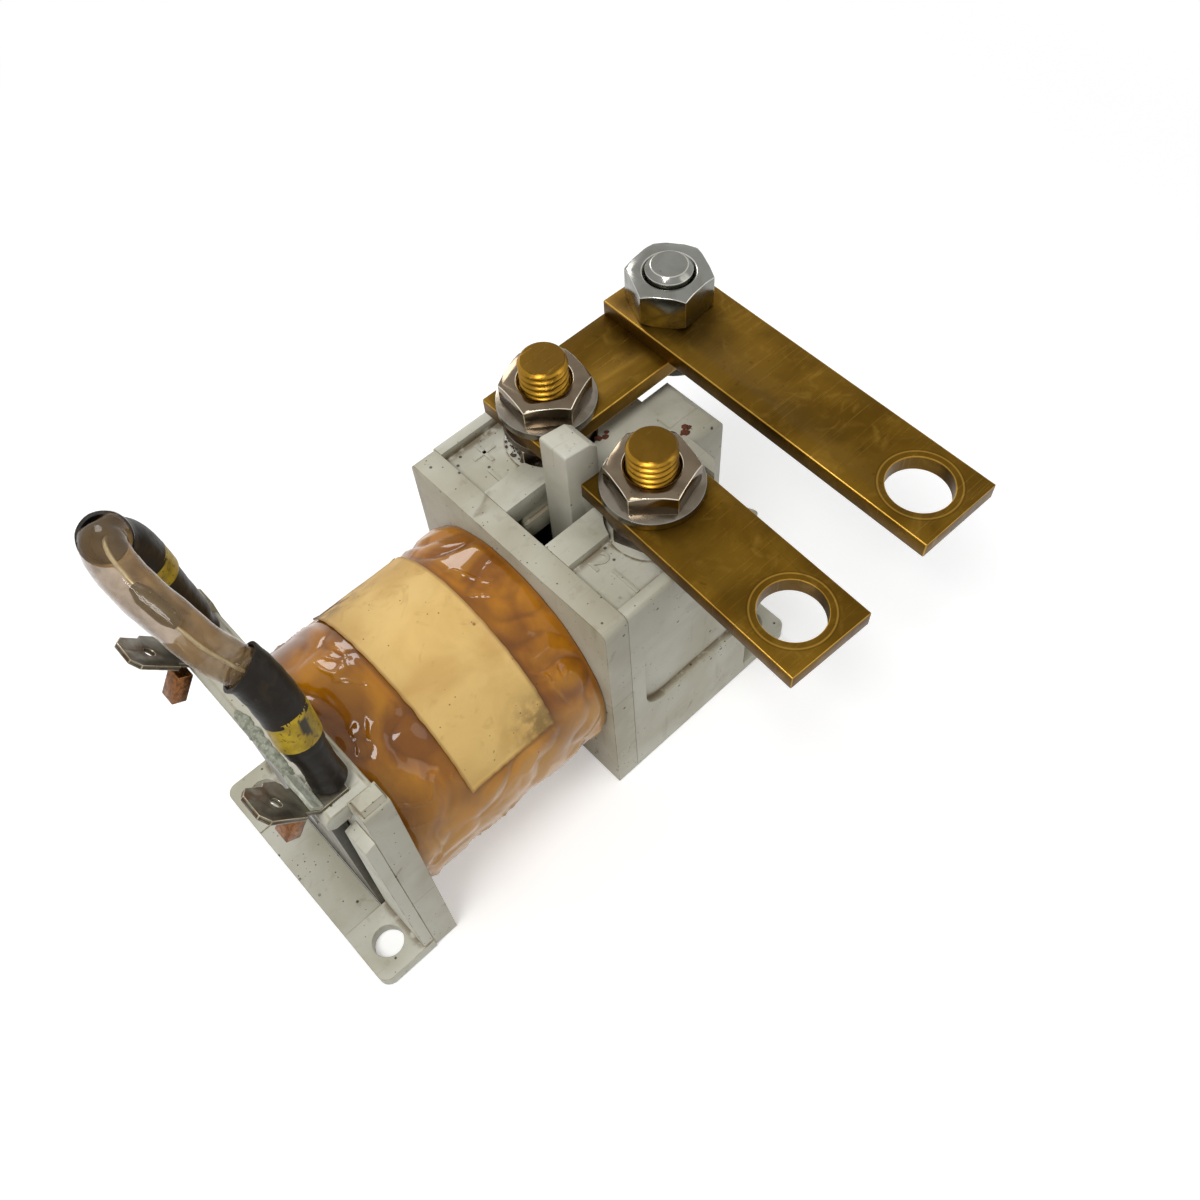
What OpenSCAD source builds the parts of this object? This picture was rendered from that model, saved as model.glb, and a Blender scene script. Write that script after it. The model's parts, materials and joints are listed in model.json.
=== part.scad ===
// Direct-current power relay: a moving-core coil with a bobbin in a steel yoke,
// a contact housing with two stud terminals, brass links and a sleeved suppressor.
// The coil axis runs along X, from the terminal end (-X) to the contact end (+X).
// The origin lies on the base plane, midway between the four mounting holes.

/* [Base and mounting] */
// Width over the sides at the base
body_w = 48.6; // [47.6:0.2:52]
// Thickness of the feet
foot_t = 3; // [2.6:0.1:4]
// How far the front foot stands out in front of the ridges
front_foot_depth = 8.9; // [8.5:0.1:10]
// How far the rear foot stands out behind the housing
rear_foot_depth = 9.5; // [9:0.1:11]
// Radius of the outer corners of the feet
corner_r = 2; // [1:0.1:3]
// Distance of the mounting holes from the ends of the feet
hole_edge_x = 5; // [4.5:0.1:5.6]
// Distance of the mounting holes from the sides of the feet
hole_edge_y = 5.55; // [5:0.05:6]
// Diameter of the mounting holes
mount_hole_d = 5.5; // [4.5:0.1:6]

/* [Yoke] */
// Width of the steel strap
yoke_w = 25.6; // [22:0.2:28]
// Thickness of the steel strap
yoke_t = 2.5; // [2:0.1:2.7]
// How far the front leg stands out of the ridges
leg_proud = 0.8; // [0.6:0.1:1.2]
// Height of the front leg
front_leg_h = 46; // [40:0.5:50]
// Height of the rear leg
rear_leg_h = 42; // [38:0.5:44]

/* [Bobbin and coil] */
// Thickness of the ridges beside the front leg
ridge_t = 2; // [2:0.1:2.6]
// Height of the ridges beside the front leg
ridge_h = 49.5; // [44:0.5:51]
// How much the ridges narrow from foot to top
ridge_taper = 6; // [0:0.5:8]
// Thickness of the front flange
front_flange_t = 4.6; // [4:0.1:6]
// Thickness of the rear flange
rear_flange_t = 4.7; // [4:0.1:6]
// Winding length between the flanges
coil_len = 39; // [38:0.5:41]
// Clearance between the yoke's web and the film
coil_clear = 1; // [0.8:0.1:1.6]
// How far the film stays inside the sides
side_margin = 1.4; // [1.2:0.1:1.8]
// Thickness of the film round the winding
film_t = 0.9; // [0.6:0.1:1.2]
// Outer diameter of the bobbin tube
tube_d = 19; // [18.6:0.1:24]
// Height of the flanges over the film
flange_rise = 2.7; // [2.4:0.1:3.6]
// Height of the ears over the front flange
ear_rise = 5; // [4.4:0.2:6]
// Width of each ear
ear_w = 3.8; // [3:0.1:5]
// Thickness of the cap on each ear
ear_cap_t = 1; // [0.5:0.1:1.5]
// How much narrower than the base the rear flange and the housing are at the top
flange_draft = 1.8; // [0:0.1:2.4]
// How much narrower than the base the front flange is at the top
front_draft = 1.4; // [0.4:0.1:2.4]

/* [Label] */
// Width of the label along the coil
label_w = 17.1; // [10:0.1:24]
// Distance of the label from the rear flange
label_offset = 9.8; // [6:0.1:12]
// Angle that the label reaches down the near side
label_near = 69; // [40:1:75]
// Angle that the label reaches down the far side
label_far = 58; // [40:1:75]

/* [Armature] */
// Diameter of the fixed core and the plunger
core_d = 16; // [14:0.1:16.6]
// Length of the fixed core in front of the air gap
core_len = 23.15; // [20:0.05:26]
// Travel of the armature
stroke = 4; // [3.5:0.1:4.2]
// Diameter of the rod between plunger and carrier
rod_d = 5; // [4:0.1:6]
// Diameter of the return spring at its wire centre
spring_d = 19.5; // [19.2:0.1:21]
// Wire diameter of the return spring
spring_wire = 0.9; // [0.7:0.05:1]
// Turns of the return spring
spring_turns = 4.5; // [3.5:0.5:5]
// Length of the return spring as fitted
spring_len = 10.3; // [10:0.1:11]

/* [Contacts] */
// Open distance between fixed and moving tips
contact_gap = 3.05; // [2.5:0.05:3.4]
// Diameter of the silver tips
tip_d = 6; // [5:0.1:7]
// Thickness of the silver tips
tip_t = 1; // [0.6:0.1:1.4]
// Length of the moving bridge
bridge_len = 31; // [30.4:0.2:31.4]
// Height of the moving bridge
bridge_h = 8; // [7:0.1:9]
// Thickness of the moving bridge
bridge_t = 2; // [1.5:0.1:2.2]
// Thickness of the fixed contact straps
strap_t = 3; // [2:0.1:3.2]
// Width of the fixed contact straps
strap_w = 12; // [9:0.2:12.6]
// Fitted length of the contact spring
contact_spring_len = 8; // [7:0.1:8.2]
// Diameter of the contact spring at its wire centre
contact_spring_d = 5.2; // [4.8:0.1:5.6]

/* [Carrier] */
// Width of the carrier body in the rear guide
carrier_w = 8; // [7:0.1:8.4]
// Height of the carrier body
carrier_h = 17; // [16:0.2:18]
// Diameter of the spring seat
seat_d = 24; // [23:0.2:25]
// Length of the post along the coil
post_len = 6.5; // [5:0.1:6.6]
// Width of the post
post_w = 6; // [4:0.1:6.2]
// Height of the post over the housing
post_rise = 13.6; // [12:0.2:14.6]

/* [Contact housing] */
// Length of the housing body
housing_len = 31.3; // [31:0.1:32]
// Thickness of the housing walls
wall = 2.4; // [2:0.1:2.6]
// Thickness of the deck under the studs
deck_t = 2.5; // [2.2:0.1:2.8]
// Depth of the stud pockets
pocket_depth = 2; // [1.5:0.1:2.4]
// Width of the rim outside each pocket
pocket_rim = 2.3; // [1.8:0.1:3]
// Half width of the ledges beside the slot
ledge_half = 10.1; // [8:0.1:11]
// Width of the slot that the post moves in
slot_w = 9.2; // [8:0.1:9.6]
// Length of the slot
slot_len = 16.2; // [16:0.1:17]
// Radius of the screw wells at the rear corners
well_r = 8.7; // [7.5:0.1:9]
// How far the rear hood stands out of the body
hood_len = 7; // [6:0.1:8]
// Width of the rear hood
hood_w = 13; // [12:0.1:14]

/* [Studs and nuts] */
// Diameter of the terminal studs
stud_d = 8; // [6:0.5:8]
// Distance between the studs
stud_pitch = 24.2; // [23.6:0.1:25]
// Distance of the studs behind the rear flange
stud_offset = 16.3; // [15.8:0.1:16.8]
// Height of the stud tops over the housing
stud_rise = 17; // [16:0.5:20]
// Width across the flats of the nuts
nut_af = 13; // [12:0.1:13]
// Height of the collar nuts under the busbars
base_nut_h = 4; // [3.4:0.1:4.2]
// Height of the thin nuts over the busbars
stud_nut_h = 4; // [3:0.1:5]
// Diameter of the washers under the busbars
base_washer_d = 15.5; // [15:0.1:16.5]
// Diameter of the washers over the busbars
washer_d = 16.6; // [15.5:0.1:17]
// Thickness of the washers
washer_t = 1.5; // [1:0.1:1.8]

/* [Busbars] */
// Width of the brass bars
bar_w = 15.8; // [14:0.1:16]
// Thickness of the brass bars
bar_t = 3; // [2:0.1:4]
// Length of the cross bar
cross_len = 42.1; // [41:0.1:44]
// Length of the long bar
long_len = 69; // [64:0.5:72]
// Length of the short bar
short_len = 45.2; // [42:0.2:48]
// Distance from a bar's end to the centre of the stud hole near it
bar_end = 7.7; // [7:0.1:8.2]
// Diameter of the customer holes in the bar ends
bar_hole_d = 10.4; // [8.4:0.1:11]
// Turn of the short bar about its stud
short_turn = -2.7; // [-5:0.1:2]
// Turn of the long bar about the link bolt
long_turn = -1.2; // [-3:0.1:3]
// Distance between the stud and the link bolt
link_pitch = 27.7; // [27.4:0.1:28.4]
// Height of the link nut
link_nut_h = 6.5; // [5:0.1:7]
// Height of the link bolt's head
bolt_head_h = 5.3; // [4.5:0.1:5.5]

/* [Coil terminals] */
// Thickness of the terminal strip
block_h = 3.6; // [3:0.1:5]
// Depth of the terminal strip along the coil
block_depth = 8.2; // [7:0.1:9]
// Distance of the blade tabs from the ends of the strip
tab_inset = 0.75; // [0.6:0.05:1.5]
// Width of the blade tabs
tab_w = 6.3; // [4.8:0.1:6.4]
// Thickness of the blade tabs
tab_t = 0.8; // [0.5:0.1:1]
// Length of the blade tabs
tab_len = 8; // [6:0.1:9]
// Length of the narrower neck behind the blade
tab_neck = 3.3; // [2.6:0.1:3.6]
// Upward tilt of the blade tabs
tab_tilt = 54; // [40:1:58]
// Diameter of the hole in the blade tabs
tab_hole_d = 1.7; // [1.2:0.1:2.2]
// Width of the copper lugs under the tabs
lug_w = 2.9; // [2.4:0.1:3.4]
// Length of the copper lugs
lug_len = 5.2; // [4:0.1:6]
// Folded thickness of the copper lugs
lug_t = 2.4; // [1.6:0.1:2.6]

/* [Suppressor] */
// Diameter of the thick black sleeves
sleeve_d = 6.5; // [6.2:0.1:7]
// Diameter of the thin sleeves at both leads
lead_sleeve_d = 5.3; // [4:0.1:5.4]
// Diameter of the clear sleeve
clear_d = 5.9; // [5:0.1:5.9]
// Wall of the clear sleeve
clear_wall = 0.7; // [0.4:0.05:1]
// Diameter of the wires and of the soldered joint
joint_d = 2.6; // [2:0.1:3]
// Thickness of the marker bands
band_t = 0.25; // [0.2:0.05:0.5]

/* [Hidden] */

// Smoothness of round faces, and of small ones
fine = 64;
coarse = 24;
// Sides and rings per section of the swept sleeves
sleeve_sides = 12;
rings_per_span = 3;
// Sides of the spring wire, and rings per curl
wire_sides = 6;
curl_rings = 8;

// Clearances: between fixed pieces, of running fits, and round soft pieces
fit_gap = 0.1;
run_gap = 0.1;
side_gap = 0.4;
seal_gap = 0.05;
cut = 1;

// Film, coil axis and heights: the body's width sets the coil, and the coil the heights
wrap_d = body_w - 2 * side_margin;
winding_d = wrap_d - 2 * film_t - 2 * fit_gap;
axis_z = yoke_t + coil_clear + wrap_d / 2;
flange_h = axis_z + wrap_d / 2 + flange_rise;
ear_h = flange_h + ear_rise;
housing_h = flange_h;
post_top = housing_h + post_rise;
stud_top = housing_h + stud_rise;

// Length over both feet: the pieces along the base add up to it
base_len = front_foot_depth + ridge_t + front_flange_t + coil_len + rear_flange_t + housing_len
    + rear_foot_depth;

// Mounting holes
hole_pitch_x = base_len - 2 * hole_edge_x;
hole_pitch_y = body_w - 2 * hole_edge_y;

// Stations along the coil axis
ridge_x0 = -base_len / 2 + front_foot_depth;
flange_x0 = ridge_x0 + ridge_t;
coil_x0 = flange_x0 + front_flange_t;
coil_x1 = coil_x0 + coil_len;
house_x0 = coil_x1 + rear_flange_t;
house_x1 = house_x0 + housing_len;
hood_x1 = house_x1 + hood_len;
leg_x0 = ridge_x0 - leg_proud;
rear_leg_x1 = house_x0 + yoke_t;

// Levels of the deck and of the pieces on the studs
deck_z = housing_h - pocket_depth;
ceiling_z = deck_z - deck_t;
seat_ring_h = 0.4;
seat_ring_d = 15.8;
base_nut_z = deck_z + seat_ring_h;
base_washer_z = base_nut_z + base_nut_h;
bar_z = base_washer_z + washer_t + fit_gap;
stud_washer_z = bar_z + bar_t;
stud_nut_z = stud_washer_z + washer_t;
block_top = flange_h + block_h;

// Turns of the nuts about their studs, as they were tightened
base_nut_turns = [12, 50];
stud_nut_turns = [22, 17];

// How much narrower the front flange is than the rear one at its foot, each side
front_inset = 0.3;

// Armature and contacts
core_x1 = flange_x0 - fit_gap + core_len;
plunger_x0 = core_x1 + stroke + seal_gap;
seat_x0 = rear_leg_x1 + spring_len;
seat_t = 2;
plunger_len = 24.5;
rod_grip = 6;
rod_end_gap = 3;
post_rear = 0.8;
bore_d = core_d + 2 * run_gap;
stud_x = house_x0 + stud_offset;
stud_y = stud_pitch / 2;
strap_leg_x0 = stud_x - strap_t / 2;
fixed_tip_x1 = strap_leg_x0 + strap_t + tip_t;
bridge_tip_x0 = fixed_tip_x1 + contact_gap;
bridge_x0 = bridge_tip_x0 + tip_t;
rod_x1 = bridge_x0 - rod_end_gap;
window_x1 = bridge_x0 + bridge_t + contact_spring_len;
tail_x1 = hood_x1 - wall - fit_gap;
post_x1 = seat_x0 + post_rear;

// Terminal strip and the blades on it
strip_x1 = coil_x0 - 0.2;
strip_x0 = strip_x1 - block_depth;
strip_half = body_w / 2 - front_inset - (front_draft / 2 - front_inset) - ear_w - 3 * fit_gap;
strip_edge = 1;
tab_y = strip_half - tab_w / 2 - tab_inset;
tab_bend_x = strip_x0 + 0.4;
tape_y0 = -strip_half + 1.6;
tape_y1 = 4.1 - tab_y;

// Suppressor loop from the near lead over the top to the far lead: X from the strip's rear
// edge, Y as a share of tab_y, Z over the strip
loop_points = [
    [-3.9, -0.98, 1.4], [-3.9, -0.95, 3.8], [-3.9, -0.9, 7], [-4, -0.83, 10.4], [-3.7, -0.73, 15],
    [-3.8, -0.635, 18.6], [-4.2, -0.513, 21.8], [-5.3, -0.404, 24], [-6.6, -0.256, 26.4],
    [-7.4, -0.064, 28.8], [-8.2, 0.192, 30.6], [-8.6, 0.449, 31.9], [-8.5, 0.641, 32.5],
    [-8.1, 0.782, 32.5], [-7.4, 0.897, 31.4], [-6.6, 0.962, 29.3], [-5.3, 1.006, 25.9],
    [-4.6, 1.032, 20.5], [-4.3, 1.058, 14.9], [-3.9, 1.077, 9.6], [-3.6, 1.083, 6], [-3.5, 1.083, 3.4],
    [-3.5, 1.083, 1.6]];
// Point on a smooth curve through the points, at span i and fraction u
function route_point(p, i, u) =
    let (a = p[max(i - 1, 0)], b = p[i], c = p[i + 1], d = p[min(i + 2, len(p) - 1)])
    0.5 * (2 * b + (c - a) * u + (2 * a - 5 * b + 4 * c - d) * u * u
           + (3 * b - a - 3 * c + d) * u * u * u);

// All ring centres along a route
function route(p) = concat(
    [for (i = [0 : len(p) - 2]) for (k = [0 : rings_per_span - 1]) route_point(p, i, k / rings_per_span)],
    [p[len(p) - 1]]);

function unit(v) = v / norm(v);

// Direction of the path at each of its ring centres
function headings(c) =
    [for (i = [0 : len(c) - 1]) unit(c[min(i + 1, len(c) - 1)] - c[max(i - 1, 0)])];

// Loop as ring centres and headings, the rings where its sleeves meet, and their mouths
loop = route([for (p = loop_points) [strip_x1 + p[0], tab_y * p[1], block_top + p[2]]]);
loop_t = headings(loop);
near_joint_i = 3 * rings_per_span - 1;
near_mouth_i = 6 * rings_per_span;
far_mouth_i = 14 * rings_per_span;
far_joint_i = 20 * rings_per_span;
mouth_rings = 3;
mouth_depth = 2;
mouth_wall = 0.3;
end_rings = 3;
end_gap = 0.12;

// Corner points of one ring of n sides round p, square to the heading t
function ring(p, t, r, n, side) =
    let (u = unit(side - (side * t) * t), v = cross(t, u))
    [for (k = [0 : n - 1]) p + r * (cos(360 * k / n) * u + sin(360 * k / n) * v)];

// Solid swept along ring centres c and headings t, with a radius for each ring
module sweep(c, t, radii, n, side = [1, 0, 0]) {
    m = len(c);
    points = [for (i = [0 : m - 1]) each ring(c[i], t[i], radii[i], n, side)];
    walls = [for (i = [0 : m - 2]) for (k = [0 : n - 1])
        let (a = i * n + k, b = i * n + (k + 1) % n)
        each [[a, b, a + n], [b, b + n, a + n]]];
    start_cap = [for (k = [1 : n - 2]) [0, k + 1, k]];
    end_cap = [for (k = [1 : n - 2]) [(m - 1) * n, (m - 1) * n + k, (m - 1) * n + k + 1]];
    polyhedron(points, concat(walls, start_cap, end_cap));
}

// Open tube with an even wall swept along ring centres c and headings t
module sweep_tube(c, t, r_out, r_in, n, side = [1, 0, 0]) {
    m = len(c);
    points = concat([for (i = [0 : m - 1]) each ring(c[i], t[i], r_out, n, side)],
        [for (i = [0 : m - 1]) each ring(c[i], t[i], r_in, n, side)]);
    walls = [for (i = [0 : m - 2]) for (k = [0 : n - 1])
        let (a = i * n + k, b = i * n + (k + 1) % n, s = m * n)
        each [[a, b, a + n], [b, b + n, a + n], [s + a, s + a + n, s + b], [s + b, s + a + n, s + b + n]]];
    rims = [for (k = [0 : n - 1])
        let (a = k, b = (k + 1) % n, s = m * n, e = (m - 1) * n)
        each [[a, s + a, b], [b, s + a, s + b], [e + a, e + b, s + e + a], [e + b, s + e + b, s + e + a]]];
    polyhedron(points, concat(walls, rims));
}

// Swept solid whose start is an open mouth, q rings deep, with the given wall
module sweep_cup(c, t, radii, wall_t, q, n, side = [1, 0, 0]) {
    m = len(c);
    points = concat([for (i = [0 : m - 1]) each ring(c[i], t[i], radii[i], n, side)],
        [for (i = [0 : q]) each ring(c[i], t[i], radii[i] - wall_t, n, side)]);
    s = m * n;
    outer = [for (i = [0 : m - 2]) for (k = [0 : n - 1])
        let (a = i * n + k, b = i * n + (k + 1) % n)
        each [[a, b, a + n], [b, b + n, a + n]]];
    inner = [for (i = [0 : q - 1]) for (k = [0 : n - 1])
        let (a = s + i * n + k, b = s + i * n + (k + 1) % n)
        each [[a, a + n, b], [b, a + n, b + n]]];
    rim = [for (k = [0 : n - 1]) let (a = k, b = (k + 1) % n) each [[a, s + a, b], [b, s + a, s + b]]];
    floor_cap = [for (k = [1 : n - 2]) [s + q * n, s + q * n + k + 1, s + q * n + k]];
    end_cap = [for (k = [1 : n - 2]) [(m - 1) * n, (m - 1) * n + k, (m - 1) * n + k + 1]];
    polyhedron(points, concat(outer, inner, rim, floor_cap, end_cap));
}

// Centres of a helical spring along X between its two seats
function spring_centres(x0, x1, d, wire, turns) =
    let (n = ceil(turns * curl_rings), rise = x1 - x0 - wire)
    [for (i = [0 : n])
        let (f = i / n, a = 360 * turns * f)
        [x0 + wire / 2 + rise * f, d / 2 * cos(a), axis_z + d / 2 * sin(a)]];

// Least distance between rings more than half a turn apart, less the wire
function spring_gap(c, wire) =
    min([for (i = [0 : len(c) - 1]) for (j = [i + 1 : len(c) - 1])
        if (j - i > curl_rings / 2) norm(c[i] - c[j])]) - wire;

// Places its 2D child, drawn in Y and Z, between two stations along X
module along_x(x0, x1) {
    translate([x0, 0, 0]) rotate([90, 0, 90]) linear_extrude(x1 - x0) children();
}

// Places its 2D child, drawn in X and Z, between two stations along Y
module along_y(y0, y1) {
    translate([0, y1, 0]) rotate([90, 0, 0]) linear_extrude(y1 - y0) children();
}

// Round bar along X on the coil axis
module axial(d, x0, x1) {
    translate([x0, 0, axis_z]) rotate([0, 90, 0]) cylinder(d = d, h = x1 - x0, $fn = fine);
}

// Block between two corners
module block(x0, x1, y0, y1, z0, z1) {
    translate([x0, y0, z0]) cube([x1 - x0, y1 - y0, z1 - z0]);
}

// Block centred across Y
module mid_block(x0, x1, w, z0, z1) {
    block(x0, x1, -w / 2, w / 2, z0, z1);
}

// Both sides of the relay
module both_sides() {
    children();
    mirror([0, 1, 0]) children();
}

// Foot with its outer corners rounded; end is the outer X, inner the other
module foot(end, inner) {
    s = sign(end);
    linear_extrude(foot_t) difference() {
        translate([min(end, inner), -body_w / 2]) square([abs(end - inner), body_w]);
        for (side = [-1, 1]) translate([end - s * corner_r, side * (body_w / 2 - corner_r)])
            difference() {
                translate([s > 0 ? 0 : -cut - corner_r, side > 0 ? 0 : -cut - corner_r])
                    square(corner_r + cut);
                circle(r = corner_r, $fn = fine);
            }
    }
}

module mount_holes() {
    for (side = [-1, 1]) for (end = [-1, 1])
        translate([end * hole_pitch_x / 2, side * hole_pitch_y / 2, -cut])
            cylinder(d = mount_hole_d, h = foot_t + 2 * cut, $fn = fine);
}

// Space that the yoke strap and its legs take out of the plastic, with clearance
module yoke_space() {
    w = yoke_w + 2 * fit_gap;
    mid_block(leg_x0 - 2 * fit_gap, rear_leg_x1 + fit_gap, w, -cut, yoke_t + fit_gap);
    mid_block(leg_x0 - 2 * fit_gap, flange_x0, w, -cut, ear_h + cut);
    mid_block(house_x0, rear_leg_x1 + fit_gap, w, -cut, rear_leg_h + fit_gap);
}

// Drafted flange outline in Y and Z with rounded top corners
function draft_half(z) = body_w / 2 - flange_draft / 2 * z / flange_h;
function front_half(z) = body_w / 2 - front_inset - (front_draft / 2 - front_inset) * z / ear_h;
function corner_arc(y, z, r, a0, a1) =
    [for (k = [0 : 4]) let (a = a0 + (a1 - a0) * k / 4) [y + r * cos(a), z + r * sin(a)]];

module flange_outline(h, r, foot_half, half) {
    polygon(concat([[-foot_half, 0], [foot_half, 0]],
        corner_arc(half - r, h - r, r, 0, 90), corner_arc(r - half, h - r, r, 90, 180)));
}

module front_bracket() {
    step = 0.2;
    color([0.72, 0.71, 0.64]) difference() {
        union() {
            foot(-base_len / 2, flange_x0 - fit_gap / 2);
            both_sides() ridge();
        }
        yoke_space();
        mount_holes();
        // Shallow step across the middle of the foot
        mid_block(-base_len / 2 - cut, leg_x0, yoke_w + 2 * fit_gap, foot_t - step, foot_t + cut);
    }
}

// Tapering ridge beside the front leg, with a bevelled top
module ridge() {
    inner = yoke_w / 2 + fit_gap;
    x1 = flange_x0 - fit_gap / 2;
    bevel = 1;
    bevel_angle = 25;
    difference() {
        along_x(ridge_x0, x1) polygon([[inner, 0], [front_half(0), 0],
            [front_half(ridge_h), ridge_h], [inner + ridge_taper, ridge_h], [inner, foot_t]]);
        translate([ridge_x0, 0, ridge_h - bevel]) rotate([0, -bevel_angle, 0])
            translate([-2 * ridge_t, 0, 0]) cube([4 * ridge_t, body_w, 4 * bevel]);
    }
}

// Steel U strap with the rivet hole in its front leg and the armature's bore in the rear
module magnet_frame() {
    color([0.36, 0.36, 0.35]) difference() {
        union() {
            mid_block(leg_x0, rear_leg_x1, yoke_w, 0, yoke_t);
            mid_block(leg_x0, leg_x0 + yoke_t, yoke_w, 0, front_leg_h);
            mid_block(house_x0, rear_leg_x1, yoke_w, 0, rear_leg_h);
        }
        axial(core_d / 2 + 2 * fit_gap, leg_x0 - cut, leg_x0 + yoke_t + cut);
        axial(core_d + 2 * cut, house_x0 - cut, rear_leg_x1 + cut);
    }
}

module bobbin() {
    color([0.7, 0.69, 0.62]) difference() {
        union() {
            difference() {
                along_x(flange_x0, coil_x0) flange_outline(ear_h, 0.6, front_half(0), front_half(ear_h));
                mid_block(flange_x0 - cut, coil_x0 + cut, 2 * (front_half(ear_h) - ear_w),
                    flange_h, ear_h + cut);
            }
            // Stepped cap on each ear
            both_sides() translate([0, front_half(ear_h) - ear_w / 2, ear_h - fit_gap])
                along_x(flange_x0 + 0.5, coil_x0 - 0.3)
                polygon([[0.3 - ear_w / 2, 0], [ear_w / 2 - 0.4, 0],
                    [ear_w / 2 - 0.9, ear_cap_t + fit_gap], [0.6 - ear_w / 2, ear_cap_t + fit_gap]]);
            along_x(coil_x1, house_x0) flange_outline(flange_h, 1.5, body_w / 2, draft_half(flange_h));
            axial(tube_d, coil_x0 - cut, coil_x1 + cut);
        }
        axial(bore_d, flange_x0 - cut, house_x0 + cut);
        yoke_space();
    }
}

// Copper winding as one ring
module winding() {
    color([0.62, 0.33, 0.16]) difference() {
        axial(winding_d, coil_x0 + fit_gap, coil_x1 - fit_gap);
        axial(tube_d + 2 * fit_gap, coil_x0 - cut, coil_x1 + cut);
    }
}

// Film in long section: it bulges between the flanges
module film_wrap() {
    r_in = winding_d / 2 + fit_gap;
    r_out = wrap_d / 2;
    len = coil_len - 2 * fit_gap;
    bulge = 3;
    drop = 0.5;
    color([0.76, 0.5, 0.12]) translate([coil_x0 + fit_gap, 0, axis_z]) rotate([0, 90, 0])
        rotate_extrude($fn = fine) polygon([
            [r_in, 0], [r_out - drop, 0], [r_out - drop * 0.3, bulge / 2], [r_out, bulge],
            [r_out, len - bulge], [r_out - drop * 0.3, len - bulge / 2], [r_out - drop, len], [r_in, len]]);
}

// Paper band over the top of the film, cut back to its two end angles
module label() {
    r_in = wrap_d / 2 + seal_gap;
    paper = 0.25;
    x1 = coil_x1 - label_offset;
    color([0.87, 0.74, 0.47]) translate([x1 - label_w, 0, axis_z]) rotate([0, 90, 0])
        rotate([0, 0, 180 - label_far]) rotate_extrude(angle = label_near + label_far, $fn = fine)
        translate([r_in, 0]) square([paper, label_w]);
}

// Steel core whose reduced end is riveted through the front leg
module fixed_core() {
    rivet_head = 0.4;
    color([0.42, 0.42, 0.42]) union() {
        axial(core_d, leg_x0 + yoke_t, core_x1);
        axial(core_d / 2, leg_x0 - rivet_head, leg_x0 + yoke_t + cut);
    }
}

// Moving steel core, bored for the rod
module plunger() {
    chamfer = 0.6;
    color([0.5, 0.5, 0.5]) difference() {
        translate([plunger_x0, 0, axis_z]) rotate([0, 90, 0]) rotate_extrude($fn = fine)
            polygon([[0, 0], [core_d / 2 - chamfer, 0], [core_d / 2, chamfer],
                [core_d / 2, plunger_len - chamfer], [core_d / 2 - chamfer, plunger_len], [0, plunger_len]]);
        axial(rod_d + fit_gap, plunger_x0 + plunger_len - rod_grip, plunger_x0 + plunger_len + cut);
    }
}

module plunger_rod() {
    color([0.6, 0.6, 0.6])
        axial(rod_d, plunger_x0 + plunger_len - rod_grip + seal_gap, rod_x1);
}

module return_spring() {
    c = spring_centres(rear_leg_x1 + seal_gap, seat_x0 - seal_gap, spring_d, spring_wire, spring_turns);
    echo(str("return_spring least gap ", spring_gap(c, spring_wire), " mm"));
    color([0.55, 0.55, 0.57]) sweep(c, headings(c), [for (i = c) spring_wire / 2], wire_sides);
}

module contact_spring() {
    wire = 0.7;
    turns = 4;
    c = spring_centres(bridge_x0 + bridge_t + seal_gap, window_x1 - seal_gap, contact_spring_d, wire, turns);
    echo(str("contact_spring least gap ", spring_gap(c, wire), " mm"));
    color([0.6, 0.6, 0.62]) sweep(c, headings(c), [for (i = c) wire / 2], wire_sides);
}

// Moulded holder of the moving bridge, with the post that stands in the slot
module contact_carrier() {
    post_x0 = post_x1 - post_len;
    spring_top = axis_z + spring_d / 2 + spring_wire;
    bevel = 1.4;
    slope = 1;
    color([0.74, 0.73, 0.66]) difference() {
        union() {
            axial(seat_d, seat_x0, seat_x0 + seat_t);
            mid_block(seat_x0, tail_x1, carrier_w, axis_z - carrier_h / 2, axis_z + carrier_h / 2);
            mid_block(seat_x0, post_x1, post_w, axis_z, ceiling_z);
            along_y(-post_w / 2, post_w / 2) polygon([
                [post_x0, spring_top], [post_x1, spring_top], [post_x1, post_top - slope - bevel],
                [post_x1 - bevel, post_top - slope], [post_x0 + 0.3, post_top], [post_x0, post_top - 0.3]]);
        }
        mid_block(bridge_x0 - seal_gap, window_x1, carrier_w + 2 * cut,
            axis_z - bridge_h / 2 - fit_gap, axis_z + bridge_h / 2 + fit_gap);
        axial(rod_d + fit_gap, seat_x0 - cut, rod_x1 + seal_gap);
    }
}

module contact_bridge() {
    color([0.72, 0.55, 0.25])
        mid_block(bridge_x0, bridge_x0 + bridge_t, bridge_len, axis_z - bridge_h / 2, axis_z + bridge_h / 2);
}

module bridge_tips() {
    color([0.8, 0.8, 0.78]) for (side = [-1, 1]) translate([0, side * stud_y, 0])
        axial(tip_d, bridge_tip_x0, bridge_x0);
}

// Pocket floor outline beside the slot, with rounded corners
module pocket_outline() {
    r = 1.5;
    x0 = house_x0 - cut - r;
    x1 = house_x1 - wall - r;
    y0 = ledge_half + r;
    y1 = draft_half(housing_h) - pocket_rim - r;
    union() {
        translate([house_x0 - cut, y0]) square([x1 - house_x0 + cut, y1 - y0]);
        translate([house_x0 - cut, y0 - r]) square([x1 - house_x0 + cut, y1 - y0 + 2 * r]);
        translate([x1 - cut, y0]) square([r + cut, y1 - y0]);
        for (y = [y0, y1]) translate([x1, y]) circle(r = r, $fn = fine);
    }
}

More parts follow.
